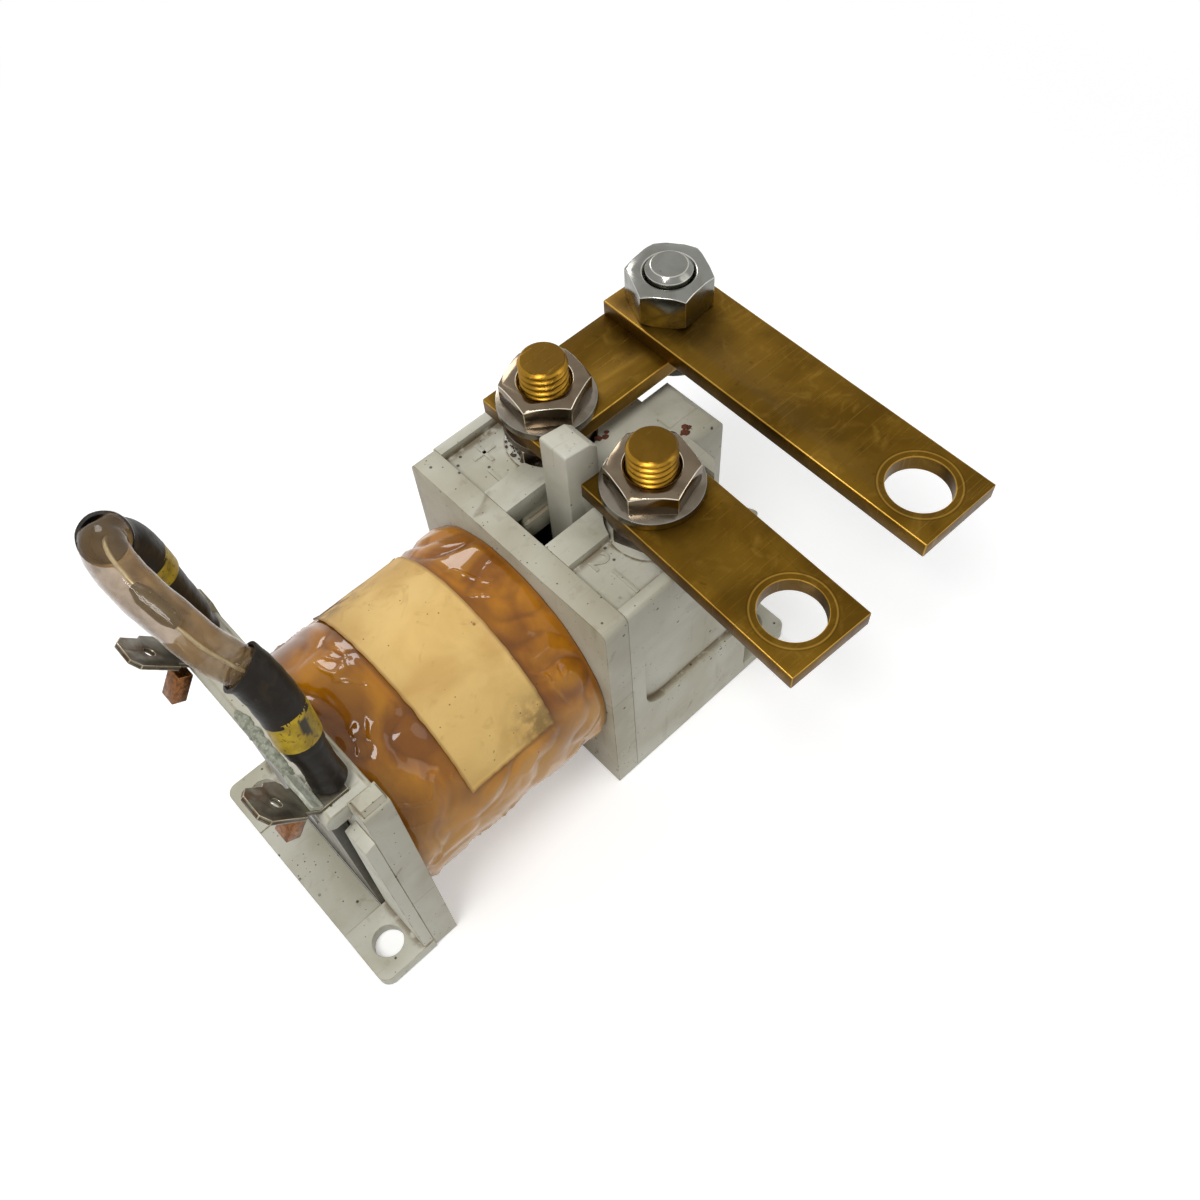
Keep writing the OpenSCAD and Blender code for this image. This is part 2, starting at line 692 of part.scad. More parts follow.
// Moulded box with stud pockets, slot, hood and screw wells
module contact_housing() {
    well_x = hole_pitch_x / 2;
    well_y = hole_pitch_y / 2;
    guide_drop = 8;
    guide_t = 1.3;
    step = 0.6;
    step_depth = 4;
    hood_r = 1.5;
    hood_edge = 2;
    well_edge_x = house_x1 - 2.9;
    color([0.73, 0.72, 0.65]) difference() {
        union() {
            difference() {
                along_x(house_x0 + fit_gap / 2, house_x1)
                    flange_outline(housing_h, 0.8, body_w / 2, draft_half(housing_h));
                // Working chamber, open to the bobbin; its rear corners follow the wells
                difference() {
                    mid_block(house_x0 - cut, house_x1 - wall, body_w - 2 * wall, foot_t, ceiling_z);
                    both_sides() translate([well_x, well_y, 0])
                        cylinder(r = well_r + wall, h = housing_h, $fn = fine);
                    // Guide walls that hang down on both sides of the slot
                    both_sides() block(rear_leg_x1 + side_gap, house_x0 + slot_len,
                        slot_w / 2 - step, slot_w / 2 + guide_t, deck_z - guide_drop, ceiling_z + cut);
                }
                both_sides() translate([0, 0, deck_z]) linear_extrude(pocket_depth + cut) pocket_outline();
                mid_block(house_x0 - cut, house_x0 + slot_len, slot_w, deck_z - step_depth, housing_h + cut);
                mid_block(house_x0 - cut, house_x0 + slot_len, slot_w - 2 * step,
                    ceiling_z - cut, housing_h + cut);
            }
            // Rear hood over the carrier's tail
            difference() {
                along_x(house_x1 - wall, hood_x1) polygon(concat([[-hood_w / 2, 0], [hood_w / 2, 0]],
                    corner_arc(hood_w / 2 - hood_r, housing_h - hood_r, hood_r, 0, 90),
                    corner_arc(hood_r - hood_w / 2, housing_h - hood_r, hood_r, 90, 180)));
                // Rounded upper rear edge
                translate([hood_x1 - hood_edge, -hood_w, housing_h - hood_edge]) difference() {
                    cube([hood_edge + cut, 2 * hood_w, hood_edge + cut]);
                    rotate([-90, 0, 0]) cylinder(r = hood_edge, h = 2 * hood_w, $fn = fine);
                }
            }
            foot(base_len / 2, house_x1 - wall);
            // Raised ring round each stud
            both_sides() translate([stud_x, stud_y, deck_z - cut / 2])
                cylinder(d = seat_ring_d, h = seat_ring_h + cut / 2, $fn = fine);
        }
        // Screw wells over the rear mounting holes
        both_sides() translate([well_x, well_y, foot_t])
            cylinder(r = well_r, h = housing_h, $fn = fine);
        both_sides() block(well_edge_x, base_len / 2 + cut, well_y + well_r * 0.3, body_w,
            foot_t, housing_h + cut);
        // Guide for the carrier's tail inside the hood
        mid_block(house_x1 - wall - cut, hood_x1 - wall, carrier_w + 2 * side_gap,
            axis_z - carrier_h / 2 - side_gap, axis_z + carrier_h / 2 + side_gap);
        both_sides() translate([stud_x, stud_y, ceiling_z - cut])
            cylinder(d = stud_d + 0.4, h = deck_t + 3 * cut, $fn = fine);
        // Round seats that the collar nuts stand in
        both_sides() translate([stud_x, stud_y, base_nut_z])
            cylinder(d = nut_af / cos(30) + 2 * side_gap, h = housing_h, $fn = fine);
        yoke_space();
        mount_holes();
        // Sloping grip recess in each side wall, deepest along its lower edge
        both_sides() grip_recess();
    }
}

// Wedge that cuts the recess: deepest below, running out towards the top
module grip_recess() {
    depth = 1.4;
    lower_z = 18;
    upper_z = 40;
    r = 5;
    front_margin = 3;
    rear_margin = 6;
    x0 = house_x0 + front_margin;
    x1 = house_x1 - rear_margin;
    y = draft_half(lower_z);
    lean = atan(depth / (upper_z - lower_z)) - atan(flange_draft / 2 / flange_h);
    translate([0, y, lower_z]) rotate([-lean, 0, 0]) translate([0, -depth, 0])
        rotate([-90, 0, 0]) linear_extrude(depth + 2) union() {
            translate([x0 + r, -upper_z + lower_z]) square([x1 - x0 - r, upper_z - lower_z]);
            translate([x0, -upper_z + lower_z]) square([r + cut, upper_z - lower_z - r]);
            translate([x0 + r, -r]) circle(r = r, $fn = fine);
        }
}

// Brass strap: a foot under the deck and a leg down to the tip
module fixed_contact(side) {
    foot_len = 12;
    foot_front = 6.5;
    leg_over = 1;
    leg_z0 = axis_z - bridge_h / 2 - leg_over;
    color([0.7, 0.55, 0.24]) difference() {
        union() {
            translate([stud_x - foot_front, side * stud_y - strap_w / 2, ceiling_z - strap_t])
                cube([foot_len, strap_w, strap_t]);
            translate([strap_leg_x0, side * stud_y - bridge_h / 2, leg_z0])
                cube([strap_t, bridge_h, ceiling_z - leg_z0 - strap_t / 2]);
        }
        translate([stud_x, side * stud_y, ceiling_z - strap_t - cut])
            cylinder(d = stud_d - 2, h = strap_t + 2 * cut, $fn = fine);
    }
}

module fixed_contact_1() { fixed_contact(1); }

module fixed_contact_2() { fixed_contact(-1); }

module fixed_tips() {
    color([0.8, 0.8, 0.78]) for (side = [-1, 1]) translate([0, side * stud_y, 0])
        axial(tip_d, fixed_tip_x1 - tip_t, fixed_tip_x1);
}

// Threaded stud with a shoulder on the strap and a reduced end riveted through it
module stud(side) {
    chamfer = 0.5;
    h = stud_top - ceiling_z;
    color([0.62, 0.48, 0.16]) translate([stud_x, side * stud_y, ceiling_z]) rotate_extrude($fn = fine)
        polygon([[0, -strap_t], [stud_d / 2 - 1 - seal_gap, -strap_t], [stud_d / 2 - 1 - seal_gap, 0],
            [stud_d / 2, 0], [stud_d / 2, h - chamfer], [stud_d / 2 - chamfer, h], [0, h]]);
}

module stud_1() { stud(1); }

module stud_2() { stud(-1); }

// Hexagon with chamfered ends, standing on z = 0, with a bore that is countersunk on top
module hex_nut(af, h, bore, top_chamfer = true, low_chamfer = false) {
    r = af / 2 / cos(30);
    low = low_chamfer ? 0.9 : 0;
    top = top_chamfer ? 0.9 : 0;
    sink = 0.5;
    difference() {
        intersection() {
            cylinder(r = r, h = h, $fn = 6);
            rotate_extrude($fn = fine) polygon([[0, 0], [r - low, 0], [r, low * 0.6],
                [r, h - top * 0.6], [r - top, h], [0, h]]);
        }
        if (bore > 0) rotate_extrude($fn = fine) polygon([[0, -cut], [bore / 2, -cut],
            [bore / 2, h - sink], [bore / 2 + sink, h], [bore / 2 + sink, h + cut], [0, h + cut]]);
    }
}

module washer(d, t, bore) {
    difference() {
        cylinder(d = d, h = t, $fn = fine);
        translate([0, 0, -cut]) cylinder(d = bore, h = t + 2 * cut, $fn = fine);
    }
}

// Both studs, with a turn for each so that the flats stand as they were tightened
module at_studs(z, turn_1 = 0, turn_2 = 0) {
    translate([stud_x, stud_y, z]) rotate([0, 0, turn_1]) children();
    translate([stud_x, -stud_y, z]) rotate([0, 0, turn_2]) children();
}

module base_nuts() {
    color([0.45, 0.43, 0.4]) at_studs(base_nut_z, base_nut_turns[0], base_nut_turns[1])
        hex_nut(nut_af, base_nut_h, stud_d + fit_gap);
}

module base_washers() {
    color([0.5, 0.48, 0.45]) at_studs(base_washer_z) washer(base_washer_d, washer_t, stud_d + 0.4);
}

module stud_washers() {
    color([0.55, 0.54, 0.52]) at_studs(stud_washer_z) washer(washer_d, washer_t, stud_d + 0.4);
}

module stud_nuts() {
    color([0.6, 0.57, 0.53]) at_studs(stud_nut_z, stud_nut_turns[0], stud_nut_turns[1])
        hex_nut(nut_af, stud_nut_h, stud_d + fit_gap);
}

// Flat bar from y = head to y = head - length in its own frame, with its end hole
module busbar(length, head, end_hole) {
    difference() {
        block(-bar_w / 2, bar_w / 2, head - length, head, 0, bar_t);
        translate([0, 0, -cut]) cylinder(d = stud_d + 0.4, h = bar_t + 2 * cut, $fn = fine);
        if (end_hole) translate([0, head - length + bar_end, -cut])
            cylinder(d = bar_hole_d, h = bar_t + 2 * cut, $fn = fine);
    }
}

module cross_busbar() {
    x0 = stud_x - 7.1;
    color([0.42, 0.3, 0.08]) difference() {
        block(x0, x0 + cross_len, stud_y - bar_w / 2, stud_y + bar_w / 2, bar_z, stud_washer_z);
        for (x = [stud_x, stud_x + link_pitch]) translate([x, stud_y, bar_z - cut])
            cylinder(d = stud_d + 0.4, h = bar_t + 2 * cut, $fn = fine);
    }
}

module long_busbar() {
    color([0.42, 0.3, 0.08]) translate([stud_x + link_pitch, stud_y, stud_washer_z])
        rotate([0, 0, long_turn]) busbar(long_len, bar_end, true);
}

module short_busbar() {
    color([0.42, 0.3, 0.08]) translate([stud_x, -stud_y, bar_z])
        rotate([0, 0, short_turn]) busbar(short_len, bar_end, true);
}

module link_bolt() {
    chamfer = 0.9;
    proud = 1.4;
    shank = 2 * bar_t + link_nut_h + proud + bolt_head_h - cut;
    color([0.7, 0.7, 0.7]) translate([stud_x + link_pitch, stud_y, bar_z - bolt_head_h]) union() {
        rotate([0, 0, 10]) hex_nut(nut_af, bolt_head_h, 0, false, true);
        translate([0, 0, cut]) rotate_extrude($fn = fine) polygon([
            [0, 0], [stud_d / 2, 0], [stud_d / 2, shank - chamfer], [stud_d / 2 - chamfer, shank],
            [0, shank]]);
    }
}

module link_nut() {
    color([0.72, 0.72, 0.72]) translate([stud_x + link_pitch, stud_y, bar_z + 2 * bar_t])
        rotate([0, 0, 6]) hex_nut(nut_af, link_nut_h, stud_d + fit_gap, true, true);
}

// Section of the strip in X and Z, grown by g
module strip_profile(g) {
    edge = 0.6;
    polygon([[strip_x0 - g, flange_h + strip_edge], [strip_x0 + strip_edge, flange_h - g],
        [strip_x1 + g, flange_h - g], [strip_x1 + g, block_top - edge], [strip_x1 - edge, block_top + g],
        [strip_x0 + strip_edge, block_top + g], [strip_x0 - g, block_top - strip_edge]]);
}

// Strip across the front flange that carries both coil terminals
module terminal_block() {
    color([0.6, 0.6, 0.53]) along_y(-strip_half, strip_half) strip_profile(0);
}

// Blade terminal: a flat on the strip, then a neck and the blade tilted up and forward
module blade_terminal(side) {
    flat_len = 5;
    chamfer = 1.3;
    hole_back = 4.4;
    shoulder = 0.7;
    shoulder_len = 3;
    neck_half = tab_w / 2 - 0.8;
    wide = tab_w / 2 + shoulder;
    len = tab_len + tab_neck;
    dx = cos(tab_tilt);
    dz = sin(tab_tilt);
    color([0.45, 0.42, 0.37]) translate([tab_bend_x, side * tab_y, block_top]) difference() {
        along_y(-tab_w / 2, wide) polygon([[0, 0], [flat_len, 0], [flat_len, tab_t],
            [tab_t * tan(tab_tilt / 2), tab_t], [tab_t * dz - len * dx, tab_t * dx + len * dz],
            [-len * dx, len * dz]]);
        // Sides of the flat and of the neck
        both_sides() block(-cut, flat_len + cut, neck_half, wide + cut, -cut, tab_t + cut);
        rotate([0, tab_tilt, 0]) translate([0, 0, -cut]) {
            both_sides() translate([-tab_neck, neck_half, 0]) cube([tab_neck + cut, wide, tab_t + 2 * cut]);
            // Shoulder on one edge of the blade, and its chamfered tip
            linear_extrude(tab_t + 2 * cut) polygon([[-len - cut, tab_w / 2 - chamfer],
                [-len, tab_w / 2 - chamfer], [chamfer - len, tab_w / 2],
                [-tab_neck - shoulder_len - shoulder, tab_w / 2], [-tab_neck - shoulder_len, wide],
                [-tab_neck - shoulder, wide], [-tab_neck, tab_w / 2], [-tab_neck, wide + cut],
                [-len - cut, wide + cut]]);
            linear_extrude(tab_t + 2 * cut) polygon([[-len - cut, chamfer - tab_w / 2],
                [-len, chamfer - tab_w / 2], [chamfer - len, -tab_w / 2], [chamfer - len, -wide],
                [-len - cut, -wide]]);
            translate([hole_back - len, 0, 0]) cylinder(d = tab_hole_d, h = tab_t + 2 * cut, $fn = coarse);
        }
    }
}

module terminal_near() { blade_terminal(-1); }

module terminal_far() { blade_terminal(1); }

// Folded copper lug that hangs from the front of the strip under each tab
module terminal_lugs() {
    lean = 35;
    inboard = 1;
    top_z = flange_h + 2.4;
    color([0.45, 0.27, 0.14]) for (side = [-1, 1])
        translate([strip_x0 - 2 * fit_gap, side * (tab_y - inboard) - lug_w / 2, top_z])
        rotate([0, lean, 0]) translate([-lug_t, 0, -lug_len]) cube([lug_t, lug_w, lug_len]);
}

// Half-round bead along the upper front edge of the strip
module adhesive_bead() {
    bead_d = 2.8;
    bead_len = 14.5;
    color([0.66, 0.67, 0.62]) difference() {
        translate([strip_x0 + strip_edge / 2, tape_y1 + 2 * fit_gap, block_top - strip_edge / 2])
            rotate([-90, 0, 0]) cylinder(d = bead_d, h = bead_len, $fn = fine);
        along_y(-strip_half, strip_half) strip_profile(seal_gap);
        mid_block(strip_x0 - bead_d, strip_x1, 2 * strip_half, block_top - bead_d - strip_edge,
            block_top - strip_edge - fit_gap);
    }
}

// Patch of adhesive tape in the bend of the near tab, from the flat up the neck
module fixing_tape() {
    tape_t = 0.7;
    rise = 2;
    dx = cos(tab_tilt);
    dz = sin(tab_tilt);
    low = block_top + tab_t + seal_gap;
    x = tab_bend_x + tab_t * tan(tab_tilt / 2);
    color([0.7, 0.71, 0.66]) along_y(tape_y0, tape_y1) polygon([
        [x, low], [x + 0.7, low], [x + 0.7, low + tape_t * 0.7], [x + 0.3, low + tape_t],
        [x - rise * dx + tape_t * dz, low + rise * dz + tape_t * dx], [x - rise * dx, low + rise * dz]]);
}

// Ring centres and headings of a stretch of the loop, pulled in by gap at both ends
function part_centres(i0, i1, gap = seal_gap) =
    [for (i = [i0 : i1]) loop[i] + (i == i0 ? gap : i == i1 ? -gap : 0) * loop_t[i]];
function part_headings(i0, i1) = [for (i = [i0 : i1]) loop_t[i]];

// Black sleeve from its open mouth at ring m to its joint with the lead at ring e
module sleeve_body(m, e, mouth_r) {
    s = sign(e - m);
    n = abs(e - m);
    end_r = lead_sleeve_d / 2;
    full_r = sleeve_d / 2;
    rings = [for (k = [0 : n]) m + s * k];
    c = [for (k = [0 : n]) loop[rings[k]] + (k == n ? -s * end_gap : 0) * loop_t[rings[k]]];
    radii = [for (k = [0 : n]) k < mouth_rings ? mouth_r + (full_r - mouth_r) * k / mouth_rings
        : n - k < end_rings ? end_r + (full_r - end_r) * sqrt((n - k) / end_rings) : full_r];
    color([0.1, 0.09, 0.07])
        sweep_cup(c, [for (k = [0 : n]) s * loop_t[rings[k]]], radii, mouth_wall, mouth_depth, sleeve_sides);
}

module suppressor_near() { sleeve_body(near_mouth_i, near_joint_i, clear_d / 2 + 0.55); }

module suppressor_far() { sleeve_body(far_mouth_i, far_joint_i, clear_d / 2 + 1.15); }

// Ring of tube round the black sleeve between two rings of the loop
module band_on(i0, i1) {
    sweep_tube(part_centres(i0, i1), part_headings(i0, i1), sleeve_d / 2 + seal_gap + band_t,
        sleeve_d / 2 + seal_gap, sleeve_sides);
}

module marker_bands() {
    color([0.66, 0.55, 0.08]) {
        band_on(near_joint_i + 1, near_joint_i + 4);
        band_on(far_joint_i - 10, far_joint_i - 8);
    }
}

module clear_sleeve() {
    i0 = near_mouth_i - 1;
    i1 = far_mouth_i + 1;
    color([0.6, 0.48, 0.32, 0.6]) sweep_tube(part_centres(i0, i1), part_headings(i0, i1), clear_d / 2,
        clear_d / 2 - clear_wall, sleeve_sides);
}

// Soldered wires inside the clear sleeve
module lead_joint() {
    i0 = near_mouth_i - 1;
    i1 = far_mouth_i + 1;
    rings_before = 6;
    joint_rings = 7;
    wire_d = 1.4;
    color([0.45, 0.44, 0.4]) sweep(part_centres(i0, i1), part_headings(i0, i1),
        [for (i = [i0 : i1]) let (k = i - i0 - rings_before)
            (k > 0 && k <= joint_rings ? joint_d : wire_d) / 2], 8);
}

// Thin sleeved ends that run down to the two terminals
module suppressor_leads() {
    end = len(loop) - 1;
    color([0.08, 0.07, 0.06]) {
        sweep(part_centres(0, near_joint_i, end_gap), part_headings(0, near_joint_i),
            [for (i = [0 : near_joint_i]) lead_sleeve_d / 2], sleeve_sides);
        sweep(part_centres(far_joint_i, end, end_gap), part_headings(far_joint_i, end),
            [for (i = [far_joint_i : end]) lead_sleeve_d / 2], sleeve_sides);
    }
}

front_bracket();
magnet_frame();
bobbin();
winding();
film_wrap();
label();
fixed_core();
plunger();
plunger_rod();
return_spring();
contact_carrier();
contact_spring();
contact_bridge();
bridge_tips();
contact_housing();
fixed_contact_1();
fixed_contact_2();
fixed_tips();
stud_1();
stud_2();
base_nuts();
base_washers();
stud_washers();
stud_nuts();
cross_busbar();
long_busbar();
short_busbar();
link_bolt();
link_nut();
terminal_block();
terminal_near();
terminal_far();
terminal_lugs();
adhesive_bead();
fixing_tape();
suppressor_near();
suppressor_far();
marker_bands();
clear_sleeve();
lead_joint();
suppressor_leads();
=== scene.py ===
"""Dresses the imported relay: rounded mouldings, wrinkled film, paper label, threads, tarnish and dirt.

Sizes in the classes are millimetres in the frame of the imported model; meshes are written in metres.
"""

import json
import logging
import math
from collections.abc import Callable
from dataclasses import dataclass, replace
from enum import Enum
from functools import cache

import bmesh
import bpy
from mathutils import Matrix, Vector, noise

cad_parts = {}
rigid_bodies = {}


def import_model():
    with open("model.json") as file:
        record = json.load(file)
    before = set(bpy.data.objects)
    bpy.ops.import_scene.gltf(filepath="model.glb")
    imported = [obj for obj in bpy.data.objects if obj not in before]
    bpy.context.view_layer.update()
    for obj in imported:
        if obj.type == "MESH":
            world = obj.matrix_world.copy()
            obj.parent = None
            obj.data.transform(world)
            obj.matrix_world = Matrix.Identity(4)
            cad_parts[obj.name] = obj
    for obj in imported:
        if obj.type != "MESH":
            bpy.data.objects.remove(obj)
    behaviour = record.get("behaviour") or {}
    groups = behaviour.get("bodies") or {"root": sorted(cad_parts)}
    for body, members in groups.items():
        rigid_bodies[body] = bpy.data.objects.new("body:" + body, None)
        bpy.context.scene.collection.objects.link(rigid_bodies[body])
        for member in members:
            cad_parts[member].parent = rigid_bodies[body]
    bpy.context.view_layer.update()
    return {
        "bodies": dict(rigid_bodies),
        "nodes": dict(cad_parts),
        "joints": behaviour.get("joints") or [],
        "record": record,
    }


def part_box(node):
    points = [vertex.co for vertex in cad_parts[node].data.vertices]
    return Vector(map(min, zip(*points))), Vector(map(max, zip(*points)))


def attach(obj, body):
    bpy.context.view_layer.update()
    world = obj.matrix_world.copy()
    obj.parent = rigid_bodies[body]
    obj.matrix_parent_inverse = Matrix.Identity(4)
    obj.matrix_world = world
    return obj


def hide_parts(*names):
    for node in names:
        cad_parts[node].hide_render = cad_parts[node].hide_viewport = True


MM = 0.001
BASE = "relay_base"
ARMATURE = "armature"
FLAT_ANGLE = math.radians(1)
SHARP_ANGLE = math.radians(32)
SOFT_ANGLE = math.radians(60)
WHITE = (1.0, 1.0, 1.0, 1.0)
VIEWER = (-0.33336, -0.41049, 0.84874)  # direction from the relay to the photograph's viewer

logging.basicConfig(level=logging.INFO, format="%(message)s")
log = logging.getLogger("relay")

Color = tuple[float, float, float, float]
Point = tuple[float, float, float]
Span = tuple[float, float]
Rows = list[list[Point]]
Piece = bpy.types.Object
Socket = bpy.types.NodeSocket


def srgb(*channels: int) -> Color:
    """Linear colour, with full alpha, for a screen's red, green and blue from 0 to 255."""
    shares = [n / 255 for n in channels]
    return (*(c / 12.92 if c <= 0.04045 else ((c + 0.055) / 1.055) ** 2.4 for c in shares), 1.0)


def smooth(value: float, low: float, high: float) -> float:
    """Smooth step from 0 at low to 1 at high."""
    t = min(max((value - low) / (high - low), 0.0), 1.0)
    return t * t * (3 - 2 * t)


def wave(*place: float) -> float:
    """Smooth noise from -1 to 1 at a place given by three numbers."""
    return noise.noise(Vector(place))


class Value:
    """A number socket of a node tree that Python operators work on."""

    def __init__(self, tree: "Tree", socket: Socket) -> None:
        """Keeps the tree and the socket."""
        self.tree, self.socket = tree, socket

    def math(self, operation: str, *others: "Value | float") -> "Value":
        """Math node with this value first."""
        return self.tree.math(operation, self, *others)

    def __add__(self, other: "Value | float") -> "Value":
        """Sum."""
        return self.math("ADD", other)

    __radd__ = __add__

    def __sub__(self, other: "Value | float") -> "Value":
        """Difference."""
        return self.math("SUBTRACT", other)

    def __rsub__(self, other: float) -> "Value":
        """Difference with the number first."""
        return self.tree.math("SUBTRACT", other, self)

    def __mul__(self, other: "Value | float") -> "Value":
        """Product."""
        return self.math("MULTIPLY", other)

    __rmul__ = __mul__

    def __truediv__(self, other: "Value | float") -> "Value":
        """Quotient."""
        return self.math("DIVIDE", other)

    def __pow__(self, other: float) -> "Value":
        """Power."""
        return self.math("POWER", other)

    def step(self, low: float, high: float) -> "Value":
        """Smooth step from 0 at low to 1 at high."""
        node = self.tree.node("ShaderNodeMapRange", {"interpolation_type": "SMOOTHSTEP"},
                              {"Value": self, "From Min": low, "From Max": high})
        return Value(self.tree, node.outputs["Result"])


class Tree:
    """A node tree with one way to add a node."""

    def __init__(self, nodes: bpy.types.NodeTree) -> None:
        """Keeps the node tree that is filled."""
        self.tree = nodes

    def feed(self, node: bpy.types.Node, inputs: dict) -> None:
        """Fills sockets of a node.

        Args:
            node: The node.
            inputs: Values or links by socket name or number.
        """
        for name, item in inputs.items():
            item = item.socket if isinstance(item, Value) else item
            if isinstance(item, Socket):
                self.tree.links.new(item, node.inputs[name])
            else:
                node.inputs[name].default_value = item

    def node(self, kind: str, settings: dict | None = None, inputs: dict | None = None) -> bpy.types.Node:
        """Adds one node.

        Args:
            kind: Blender's name of the node type.
            settings: Properties of the node, set first.
            inputs: Values or links by socket name or number.

        Returns:
            The new node.
        """
        node = self.tree.nodes.new(kind)
        for name, setting in (settings or {}).items():
            setattr(node, name, setting)
        self.feed(node, inputs or {})
        return node

    def math(self, operation: str, *items: "Value | float") -> Value:
        """Result of a Math node."""
        return Value(self, self.node("ShaderNodeMath", {"operation": operation}, dict(enumerate(items))).outputs[0])

    def scaled(self, vector: Socket, scale: "Value | float") -> Socket:
        """A vector times a number."""
        return self.node("ShaderNodeVectorMath", {"operation": "SCALE"}, {0: vector, "Scale": scale}).outputs[0]


class ShaderTree(Tree):
    """Node tree of one material, with patterns measured in millimetres."""

    def __init__(self, name: str) -> None:
        """Makes the material, with a Principled shader and Object coordinates in millimetres."""
        self.material = bpy.data.materials.new(name)
        self.material.use_nodes = True
        super().__init__(self.material.node_tree)
        self.shader = self.tree.nodes["Principled BSDF"]
        self.place = self.scaled(self.node("ShaderNodeTexCoord").outputs["Object"], 1 / MM)
        split = self.node("ShaderNodeSeparateXYZ", inputs={0: self.place})
        self.x, self.y, self.z = (Value(self, socket) for socket in split.outputs)

    def noise(self, size: float, detail: float = 3, distortion: float = 0, vector: Socket | None = None) -> Value:
        """Cloudy noise from 0 to 1 whose lumps are about size millimetres across."""
        return Value(self, self.node("ShaderNodeTexNoise", inputs={
            "Vector": vector or self.place, "Scale": 1 / size, "Detail": detail,
            "Distortion": distortion}).outputs["Fac"])

    def streaks(self, widths: Point, detail: float, turn: float = 0) -> Value:
        """Noise drawn out to a width along each axis, after a turn in the XY plane."""
        return self.noise(1, detail, vector=self.node("ShaderNodeMapping", inputs={
            "Vector": self.place, "Scale": tuple(1 / w for w in widths), "Rotation": (0, 0, turn)}).outputs[0])

    def attribute(self, name: str) -> Value:
        """Number attribute of the mesh."""
        return Value(self, self.node("ShaderNodeAttribute", {"attribute_name": name}).outputs["Fac"])

    def corners(self, reach: float) -> Value:
        """Painted shade mask: 0 on open faces, rising in inside corners, read within reach millimetres."""
        node = self.node("ShaderNodeAmbientOcclusion", {"only_local": True, "samples": 8}, {"Distance": reach * MM})
        return 1 - Value(self, node.outputs["AO"])

    def away(self, x: float, y: float) -> Value:
        """Distance from an upright line through x and y, in millimetres."""
        dx, dy = self.x - x, self.y - y
        return (dx * dx + dy * dy) ** 0.5

    def line(self, distance: Value, half: float) -> Value:
        """1 where a distance is under half a line's width, with soft sides."""
        return 1 - distance.math("ABSOLUTE").step(half * 0.6, half * 1.4)

    def dots(self, spacing: float, radius: float, patch: float, share: float) -> Value:
        """Scattered dots, 1 on a dot.

        Args:
            spacing: Mean distance between dots.
            radius: Radius of a dot.
            patch: Size of the patches that hold dots.
            share: Noise level above which a patch holds them.

        Returns:
            The mask.
        """
        cells = self.node("ShaderNodeTexVoronoi", inputs={
            "Vector": self.place, "Scale": 1 / spacing, "Randomness": 1.0})
        near = 1 - Value(self, cells.outputs["Distance"]).step(radius * 0.75 / spacing, radius * 1.25 / spacing)
        return near * self.noise(patch, 2).step(share, share + 0.06)

    def scratches(self, width: float, length: float, turn: float, share: float) -> Value:
        """Fine marks of a length, width apart and turned in the XY plane, where noise is above a share."""
        return self.streaks((length, width, length), 2, turn).step(share, share + 0.06)

    def mix(self, factor: Value, first: "Color | Socket", second: "Color | Socket") -> Socket:
        """Blends two colours, the first at 0 and the second at 1."""
        return self.node("ShaderNodeMix", {"data_type": "RGBA"}, {0: factor, 6: first, 7: second}).outputs[2]

    def over(self, color: "Color | Socket", *layers: tuple[Value, Color]) -> "Color | Socket":
        """Lays colours over a colour.

        Args:
            color: What lies below.
            layers: A mask and a colour for each layer, from below.

        Returns:
            The resulting colour.
        """
        for mask, paint in layers:
            color = self.mix(mask, color, paint)
        return color

    def bump(self, height: Value, distance: float) -> Socket:
        """Normal for a relief from 0 to 1 that is a distance in millimetres deep."""
        return self.node("ShaderNodeBump", inputs={
            "Height": height, "Distance": distance * MM, "Strength": 1.0}).outputs[0]


@dataclass(frozen=True)
class Recipe:
    """What every finish shares: a name, and a material made from the sockets that it paints."""

    name: str

    def material(self) -> bpy.types.Material:
        """Builds the material."""
        tree = ShaderTree(self.name)
        tree.feed(tree.shader, {key.replace("_", " "): item for key, item in self.paint(tree).items()})
        return tree.material


